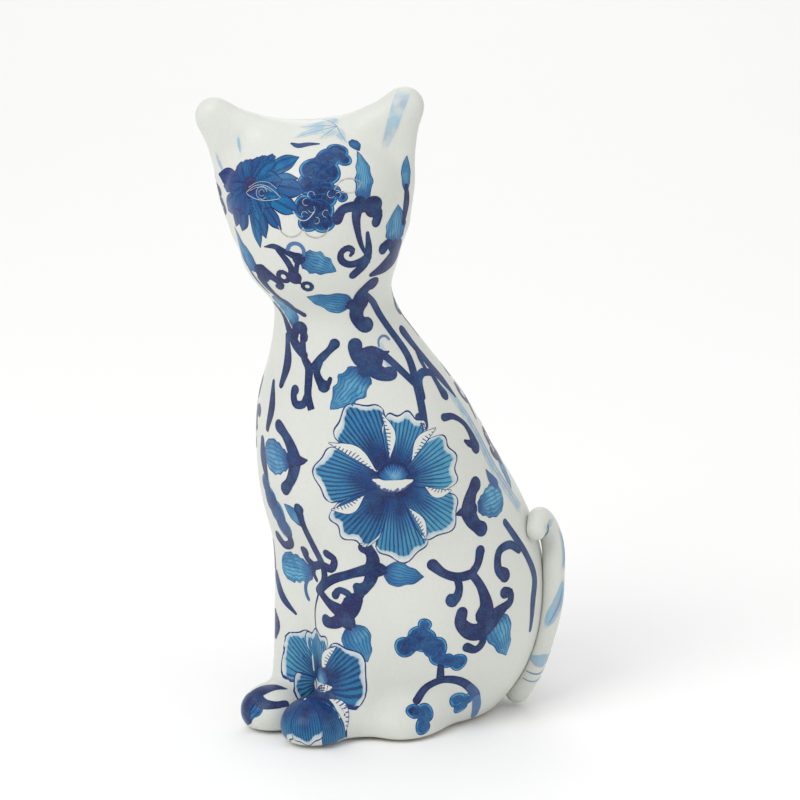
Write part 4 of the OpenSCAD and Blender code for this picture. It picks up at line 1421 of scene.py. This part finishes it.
def paint_chest():
    """A peony on the left shoulder, with leaves, a cloud and vines round it."""
    vine("chest", [(80, 113), (77, 105), (75, 99)], [1.5, 1.5, 1.3], 0.15, 1)
    peony(Spot("chest", on_body(56.5, 92.9)), [
        (121, 1.10, 24, 0.75, 2), (76, 0.88, 27, 0.35, 3), (15, 0.92, 31, 0.0, 2), (-41, 1.06, 24, 0.15, 3),
        (-82, 1.13, 22, 0.35, 2), (-129, 1.03, 27, 0.9, 3), (177, 1.04, 26, 0.6, 3)],
        [(99, 0.30, 0.88, 3.4, False), (46, 0.34, 0.88, 3.8, True), (-14, 0.42, 0.82, 3.4, False),
         (-62, 0.42, 0.94, 2.8, True), (-152, 0.42, 0.92, 4.0, True), (151, 0.24, 0.96, 4.4, False)])
    left = Spot("chest", on_body(7, 97.5), 96)
    left.leaf(-1, 3.0, 84, 9, 13, 0, 0.15, 3, fan=True)
    anchor(left, 13.0, 2.1, 2.3)
    cloud(Spot("chest", on_body(-14, 76)), [(-3, 9, 3.6, 0.6), (-0.5, 4.4, 4.6, 0.8), (3.0, 0, 4.8, 0.4),
                                            (4.4, -5.4, 4.2, 0.6)])
    hook(Spot("chest", on_body(-12, 68)), [(5, 1), (4, -3), (0, -4.4), (-3.4, -2)], 1.6, 2.0)
    vine("chest", [(-23, 100), (-22, 94), (-18, 88)], [1.6, 2.8, 1.6])
    corner = Spot("chest", on_body(99, 109))
    hook(corner, [(-3, 2.6), (1.8, 2.0), (7.0, -1.4), (9.6, -6.0), (10.2, -9.4)], 1.1, 3.0, 0.05, 1.4)
    corner.ribbon([(10, -9), (6.6, -8.2), (4.6, -7.0)], [1.6, 1.3, 0.6])
    fan = Spot("chest", on_body(87, 79.5), -84)
    fan.leaf(0, 4.5, 86, 9.5, 12, 6, 0.0, 3, fan=True)
    anchor(fan, 9.5, 2.5, 2.7)
    drop = Spot("chest", on_body(112, 87))
    drop.ribbon([(-3.0, 4.0), (-1.6, 1.0), (1.0, -1.6)], [0.4, 1.8, 2.0], tone=0.3)
    vine("chest", [(113, 122), (115, 112), (117, 100), (119, 88), (125, 74)],
         [1.6, 2.6, 2.8, 3.0, 2.6], 0.95, 0, ink="wash")
    for shift in (0, 3):
        vine("chest", [(114 + shift, 112), (117 + shift, 98), (118 + shift, 88), (126 + shift, 74)],
             [0.15, 0.3, 0.3, 0.15], 0.8, 1)


def paint_legs():
    """Leaves and forked vines down the forelegs."""
    Spot("legs", on_body(1, 79)).leaf(5.5, -5, 138, 11, 5, 10, 0.35, 1)
    vine("legs", [(6, 80), (7, 74), (9, 66), (12, 60), (12, 55), (8, 51)], [1.8, 1.3, 1.5, 1.4, 1.5, 1.5])
    Spot("legs", on_body(6, 80)).lobe(0, 0, 2.1, ink="stroke")
    fork = Spot("legs", on_body(11, 62))
    hook(fork, [(0.4, -1), (-3.6, -2.6), (-7.0, -0.8), (-7.4, 2.0)], 1.5, 1.9)
    fork.ribbon([(-4.0, -3), (-4.4, -5.6), (-3.0, -7.6)], [1.4, 1.0, 0.8])
    hook(fork, [(0.6, -1.4), (4.6, -2.0), (6.0, 1.4), (3.4, 3.2)], 1.5, 1.6)
    vine("legs", [(9, 51), (16, 56), (25, 59), (33, 61)], [1.3, 1.6, 1.6, 2.2])
    right = Spot("legs", on_body(35, 61), -96)
    right.leaf(0, 3.0, 78, 14, 8.4, 16, 0.6, 2)
    calyx(right, 9, 78, 74, 2.2, 2.4, 0.0, 1.0)
    tulip = Spot("legs", on_body(-1, 56))
    tulip.leaf(4.6, 0, 172, 11, 11, 12, 0.05, 4, fan=True)
    tulip.curl(3.2, -1.5, 200, 10, 110, 0.9, 0.6, 0.8, 1.0, 0.3)
    vine("legs", [(9, 51), (14, 48), (19, 46)], [1.5, 1.6, 2.4])
    low = Spot("legs", on_body(22, 43.5), -142)
    low.leaf(0.5, 2.5, 84, 14.5, 9.6, -10, 0.35, 2)
    calyx(low, 8.4, 76, 74, 2.3, 2.2, 0.0, 0.8)
    curl = Spot("legs", on_body(23, 51))
    hook(curl, [(-1.2, -3.4), (0.8, 0.4), (-2.6, 2.0), (-4.4, 0)], 1.2, 1.5)
    hook(curl, [(-0.2, -1.4), (3.4, -0.4), (5.2, 1.8), (3.4, 3.6)], 1.2, 1.5)
    vine("legs", [(8, 50), (5, 43), (6, 36), (12, 30)], [0.5, 0.3, 0.3, 0.25])
    vine("legs", [(-21, 51), (-15, 45), (-7, 40)], [2.0, 1.7, 0.5], 0.1)
    Spot("legs", on_body(-19, 34)).ribbon([(-2, 4), (0, 0), (-1, -4)], [1.0, 2.6, 1.6])
    vine("legs", [(-26, 62), (-24, 54)], [1.0, 1.8])


def paint_paws():
    """A scroll on the right paw and a flower on the left one."""
    scroll = Spot("paws", near(-7, -57, 11))
    scroll.leaf(-1.6, 4.6, 236, 16, 12, 20, 1.0, 2)
    scroll.ribbon([(6.6, 9.0), (1.4, 7.6), (-3.6, 3.4), (-5.6, -2.0), (-4.4, -7)], [0.3, 2.2, 3.4, 3.2, 1.2])
    hook(scroll, [(-2.8, 2.8), (1.0, 0), (5.2, 0.4), (8.4, 2.2)], 1.9, 1.3)
    flower = Spot("paws", near(4, -44.8, 17.4), 4)
    peony(flower, [(140, 1.12, 30, 0.1, 2), (100, 1.0, 25, 0.3, 3), (50, 1.12, 26, 0.9, 4),
                   (2, 0.95, 22, 0.5, 3), (186, 0.8, 24, 0.5, 3)],
          [(70, 0.34, 0.96, 3.6, True)], 21, heart=False)
    toes = Spot("paws", near(9.4, -50, 15.2), 20)
    for heading, reach, spread, tone, level in ((-24, 27, 20, 0.7, 5), (-70, 20, 28, 0.9, 6),
                                                (-124, 19.5, 29, 0.8, 5), (172, 18.5, 26, 0.6, 4)):
        toes.petal(heading, reach, spread, tone, 2, level)
    toes.ribbon([(7, 2.2), (12, 1.6), (19, -1.6)], [0.3, 1.9, 0.3], "fold", 0.0, 8, FLAT_ENDS)
    toes.ribbon([(-9, 0.5), (-4, 3.4), (3, 4.0), (9, 1.6)], [1.6, 3.4, 3.6, 1.6], level=7)
    peony_heart(Spot("paws", near(7.4, -45, 19.6), 6), 25)


def paint_haunch():
    """A thistle, clouds and vines on the left haunch."""
    thistle(Spot("haunch", on_body(78.2, 57.8)))
    cloud(Spot("haunch", on_body(55.5, 36.4)), [
        (-0.6, 5.2, 2.4, 0.2), (-2.2, 1.2, 4.0, 0.7), (-7.0, -2.8, 3.8, 0.8), (-1.0, 0, 4.4, 0.6),
        (3.2, -3.4, 4.2, 0.5), (4.0, -7.0, 3.0, 0.3), (7.6, -8.6, 2.8, 0.4), (11.4, -9.6, 3.3, 0.3)])
    vine("haunch", [(62, 27), (62.5, 21)], [1.1, 1.5])
    vine("haunch", [(52, 13.6), (57, 18.8), (65, 21), (75, 18.6), (85, 12), (91, 6)],
         [1.4, 1.4, 1.5, 1.6, 1.6, 1.4])
    vine("haunch", [(79, 16.6), (84, 13), (89, 8)], [1.5, 1.7, 1.6], 0.25, 4)
    vine("haunch", [(86, 11), (90, 7), (94, 3.2)], [1.7, 1.8, 1.5], 0.55, 5)
    cloud(Spot("haunch", on_body(54, 9.5)), [
        (-2.2, 1.2, 2.6, 1.0), (1.8, 0, 3.4, 0.4), (0.4, -4.4, 3.0, 0.2)])
    cloud(Spot("haunch", on_body(76, 10.5)), [
        (-1.2, 1.8, 3.2, 0.0), (2.6, 1.4, 2.6, 0.1), (0.8, -1.8, 2.8, 0.0)], 1.2)
    side = Spot("haunch", on_body(97, 59))
    hook(side, [(8.4, 2.8), (3.6, 5.4), (-2.0, 4.2), (-3.2, -1.4), (-0.4, -4.2)], 1.5, 2.6, 0.05)
    vine("haunch", [(107, 72), (110, 65), (114, 58), (117, 50), (114, 42), (113, 32)],
         [1.3, 1.6, 1.6, 2.0, 1.9, 1.0], 0.14, 1)


def paint_tail():
    """Washes and fine strokes across the tail."""
    for u, turn, ink, tone, points, widths in (
            (0.97, -60, "wash", 1.0, [(-3, 2), (0, 0), (3.6, -1)], [1.0, 2.4, 1.2]),
            (0.84, -70, "wash", 1.2, [(-4, 1), (0, 0.6), (4, 1.4)], [0.8, 2.2, 0.8]),
            (0.84, -70, "stroke", 0.6, [(-3, 3), (0, 0.6), (2, -3), (1.6, -7)], [0.1, 0.3, 0.2, 0.1]),
            (0.60, -25, "wash", 1.5, [(-2, -7), (2.0, -1), (1.4, 6)], [1.2, 2.8, 1.0]),
            (0.60, -25, "stroke", 0.75, [(-1, -5), (2.4, 0), (1.6, 5)], [0.3, 1.5, 0.4]),
            (0.38, -55, "wash", 1.5, [(3.4, 8), (1.6, 2), (-1.6, -4), (-4, -8)], [1.4, 2.6, 2.4, 0.8]),
            (0.38, -55, "stroke", 0.8, [(3.0, 6), (1.4, 1), (-2.2, -6)], [0.2, 0.6, 0.2]),
            (0.18, -50, "wash", 1.4, [(-5, 1.5), (0, 0.2), (5, 1.5)], [0.8, 3.0, 0.8]),
            (0.14, -50, "stroke", 0.75, [(-4.6, 0), (0, -1), (4.6, 0)], [0.15, 0.35, 0.15]),
            (0.10, -50, "stroke", 0.8, [(-4.2, 0.6), (0, -0.4), (4.2, 0.4)], [0.15, 0.3, 0.15]),
            (0.50, 100, "stroke", 0.2, [(0, 8), (1, 2), (-1, -4), (0, -9)], [0.4, 1.4, 1.4, 0.4]),
            (0.24, 110, "stroke", 0.2, [(0, 5), (1, 0), (0, -5)], [1.6, 1.0, 0.5]),
            (0.74, 110, "stroke", 0.2, [(-3, 3), (0, 0), (1, -5)], [1.6, 1.3, 0.5])):
        level = 3 if ink == "stroke" else 2
        Spot("tail", on_tail(u, turn), shape=tail_field).ribbon(points, widths, ink, tone, level)


def paint_right():
    """The right side: a peony with leaves, clouds and vines round it."""
    peony(Spot("right", on_body(-80, 60), 0, 0.94, True), [
        (121, 1.10, 24, 0.75, 2), (76, 0.92, 27, 0.35, 3), (15, 0.92, 31, 0.1, 2), (-41, 1.06, 24, 0.2, 3),
        (-82, 1.10, 22, 0.4, 2), (-129, 1.03, 27, 0.85, 3), (177, 1.04, 26, 0.6, 3)],
        [(100, 0.42, 0.86, 3.2, False), (47, 0.40, 0.84, 3.8, True), (-62, 0.46, 0.92, 2.8, True),
         (-150, 0.44, 0.86, 3.6, True), (151, 0.34, 0.92, 4.2, False)])
    antler(Spot("right", on_body(-62, 126), 10, 1, True))
    spray(Spot("right", on_body(-98, 118), -25, 1))
    sprig(Spot("right", on_body(-40, 104), 60, 1.0, True), 14, 9, 0.2, 8)
    sprig(Spot("right", on_body(-72, 98), -60), 9, 11, 0.1, 0, 3, fan=True, crescent=True)
    spray(Spot("right", on_body(-44, 66), 20, 0.95, True))
    cloud(Spot("right", on_body(-110, 92), 30), [
        (-4, 0, 3.4, 0.3), (0, 2, 4.2, 0.6), (4.4, 0, 3.6, 0.4), (8.6, -1, 3, 0.3)])
    cloud(Spot("right", on_body(-56, 22), 10), [
        (-6, -1, 3.4, 0.7), (-2, 1.4, 4.2, 0.5), (2.4, -1, 4, 0.6), (7, -3, 3.2, 0.3)])
    vine("right", [(-66, 8), (-76, 13), (-88, 13), (-98, 7)], [1.2, 1.5, 1.5, 1.0])
    spray(Spot("right", on_body(-116, 44), 150, 0.9))
    sprig(Spot("right", on_body(-106, 16), 60, 0.9, True), 12, 7, 0.3, 6)
    hook(Spot("right", on_body(-32, 40)), [(-4, 6), (0, 2), (3, -3), (0, -7)], 1.4, 2.2)
    hook(Spot("right", on_body(-82, 106)), [(-5, 3), (0, 2), (4, -1), (5, -5)], 1.2, 2.3)
    sprig(Spot("right", on_body(-84, 146), -100, 0.9), 14, 8, 0.3, 8)
    vine("right", [(-84, 146), (-96, 140), (-100, 130), (-98, 120)], [1.0, 1.3, 1.4, 1.2], 0.1)
    sprig(Spot("right", on_body(-100, 30), 90, 0.9), 13, 9, 0.2, 0, 3, fan=True, crescent=True)
    cloud(Spot("right", on_body(-78, 12), 0, 0.8), [(-3, 0, 3.2, 0.4), (1, 1, 3.8, 0.6), (4.6, -1, 3, 0.3)])


def paint_back():
    """The back: a chrysanthemum and a small peony, with vines, clouds and leaves."""
    mum(Spot("back", on_body(178, 84)), 16, 19, 7.0, 0.45)
    thistle(Spot("back", on_body(-150, 118), 20, 0.85), 0.05)
    spray(Spot("back", on_body(150, 122), -20, 0.9, True))
    antler(Spot("back", on_body(178, 140), 0, 0.85))
    cloud(Spot("back", on_body(-146, 66), 40), [
        (-6, 0, 3.4, 0.4), (-2, 2, 4.4, 0.6), (3, 1, 4.2, 0.4), (7, -2, 3.2, 0.3)])
    spray(Spot("back", on_body(-168, 50), 200, 0.95))
    peony(Spot("back", on_body(-156, 27), 0, 0.62), [
        (90, 1.0, 30, 0.3, 2), (30, 1.0, 28, 0.1, 3), (-28, 1.05, 27, 0.5, 2), (-88, 1.05, 30, 0.8, 3),
        (-148, 1.05, 28, 0.6, 2), (152, 1.0, 28, 0.4, 3)],
        [(60, 0.42, 0.86, 3.4, True), (-60, 0.42, 0.86, 3.4, False), (180, 0.42, 0.84, 3.4, True)])
    spray(Spot("back", on_body(134, 92), 170, 0.85, True))
    sprig(Spot("back", on_body(157, 52), -30, 0.95), 14, 8, 0.2, 8)
    vine("back", [(157, 50), (160, 42), (156, 33), (160, 24)], [1.5, 1.3, 1.4, 0.8], 0.1)
    cloud(Spot("back", on_body(152, 16), -10), [(-5, 0, 3.2, 0.5), (-1, 2, 3.8, 0.6), (3.4, 0, 3.6, 0.3)])
    hook(Spot("back", on_body(176, 112)), [(-6, 4), (-1, 3), (3, 0), (3.6, -4)], 1.3, 2.3)
    hook(Spot("back", on_body(-128, 96)), [(4, 6), (1, 2), (-3, 0), (-5, -4)], 1.3, 2.3)
    sprig(Spot("back", on_body(-160, 150), 120, 0.85), 13, 8, 0.3, 8)
    vine("back", [(-160, 150), (-150, 144), (-146, 134), (-150, 126)], [1.0, 1.3, 1.3, 1.0], 0.1)
    sprig(Spot("back", on_body(-124, 152), 20, 0.85), 13, 8, 0.3, 8)
    spray(Spot("back", on_body(150, 150), -30, 0.75))
    hook(Spot("back", on_body(-134, 22)), [(-5, 6), (-3, 1), (2, -1), (5, -5)], 1.3, 2.3)
    sprig(Spot("back", on_body(-132, 84), -150, 0.85), 12, 8, 0.2, 6)
    vine("back", [(-174, 16), (174, 10), (164, 12)], [1.4, 1.5, 1.0], 0.1)
    cloud(Spot("back", on_body(178, 60), 20, 0.8), [(-4, 0, 3.4, 0.4), (0, 1.6, 4, 0.6), (4, 0, 3.4, 0.3)])


def paint_all():
    """Draws every motif and makes the painted pieces."""
    paint_face()
    face_lines()
    paint_ears()
    paint_neck()
    paint_chest()
    paint_legs()
    paint_paws()
    paint_haunch()
    paint_tail()
    paint_right()
    paint_back()
    make_films()


paint_all()

# ---- Camera, light and floor ----
VIEW_TURN, VIEW_RISE = math.radians(48), math.radians(13.8)
VIEW_DISTANCE = 1.3
AIM = Vector((0, AXIS_Y * MM, 0.1085))
FLOOR_ROWS, FLOOR_LENGTH, FLOOR_NEAR, FLOOR_HALF = 32, 3.6, 1.2, 3.0
CURVE_START, CURVE = 1.2, 0.55
WORLD_STRENGTH = 0.68

# Square soft boxes: turn and rise in degrees as the camera's, distance and size in m, power in W.
LAMPS = (("key", 8, 40, 1.6, 0.9, 10.0), ("fill", 100, 18, 1.8, 1.2, 2.4),
         ("top", 48, 85, 1.5, 0.9, 3.3), ("back", 228, 35, 1.8, 1.0, 4.3))


def look_from(thing, turn, rise, distance):
    """Puts a camera or lamp at a turn and a rise, in radians, and points it at the cat."""
    back = Vector((math.sin(turn) * math.cos(rise), -math.cos(turn) * math.cos(rise), math.sin(rise)))
    thing.location = AIM + back * distance
    thing.rotation_euler = back.to_track_quat("Z", "Y").to_euler()
    bpy.context.scene.collection.objects.link(thing)


def make_camera():
    """The camera of the photograph: from the front left, a little above."""
    data = bpy.data.cameras.new("camera")
    data.lens = 172
    data.sensor_width = 36
    data.clip_start = 0.05
    camera = bpy.data.objects.new("camera", data)
    look_from(camera, VIEW_TURN, VIEW_RISE, VIEW_DISTANCE)
    bpy.context.scene.camera = camera


def floor_height(u):
    """The floor is flat near the cat and curves up behind it. u is the way from the cat, away."""
    return 0 if u < CURVE_START else (u - CURVE_START) ** 2 * CURVE


def paper():
    """The pale paper of the studio floor."""
    p = Paint("paper")
    fibre = p.noise(0.8, 3)
    colour = p.mix(fibre, (0.93, 0.93, 0.925), (0.96, 0.96, 0.955))
    return p.finish(colour, p.ease(fibre, 0, 1, 0.8, 0.95), fibre, bump_mm=0.02)


def make_floor():
    """A pale floor that curves up behind the cat, where the camera looks."""
    bm = bmesh.new()
    away = Vector((-math.sin(VIEW_TURN), math.cos(VIEW_TURN), 0))
    right = Vector((away.y, -away.x, 0))
    pairs = []
    for i in range(FLOOR_ROWS + 1):
        u = i / FLOOR_ROWS * FLOOR_LENGTH - FLOOR_NEAR
        lift = Vector((0, 0, floor_height(u)))
        pairs.append([bm.verts.new(away * u + right * side * FLOOR_HALF + lift) for side in (-1, 1)])
    for a, b in zip(pairs, pairs[1:]):
        bm.faces.new((a[0], a[1], b[1], b[0]))
    mesh = bpy.data.meshes.new("studio_floor")
    bm.to_mesh(mesh)
    bm.free()
    mesh.polygons.foreach_set("use_smooth", np.ones(len(mesh.polygons), bool))
    mesh.materials.append(paper())
    floor = bpy.data.objects.new("studio_floor", mesh)
    bpy.context.scene.collection.objects.link(floor)


def make_light():
    """A white surrounding and four soft boxes."""
    world = bpy.data.worlds.new("studio")
    world.use_nodes = True
    background = world.node_tree.nodes["Background"]
    background.inputs[0].default_value = (1.0, 1.0, 1.0, 1)
    background.inputs[1].default_value = WORLD_STRENGTH
    bpy.context.scene.world = world
    for name, turn, rise, distance, size, power in LAMPS:
        data = bpy.data.lights.new(name, "AREA")
        data.size = size
        data.energy = power
        look_from(bpy.data.objects.new(name, data), math.radians(turn), math.radians(rise), distance)
    bpy.context.scene.view_settings.view_transform = "Standard"


make_camera()
make_floor()
make_light()
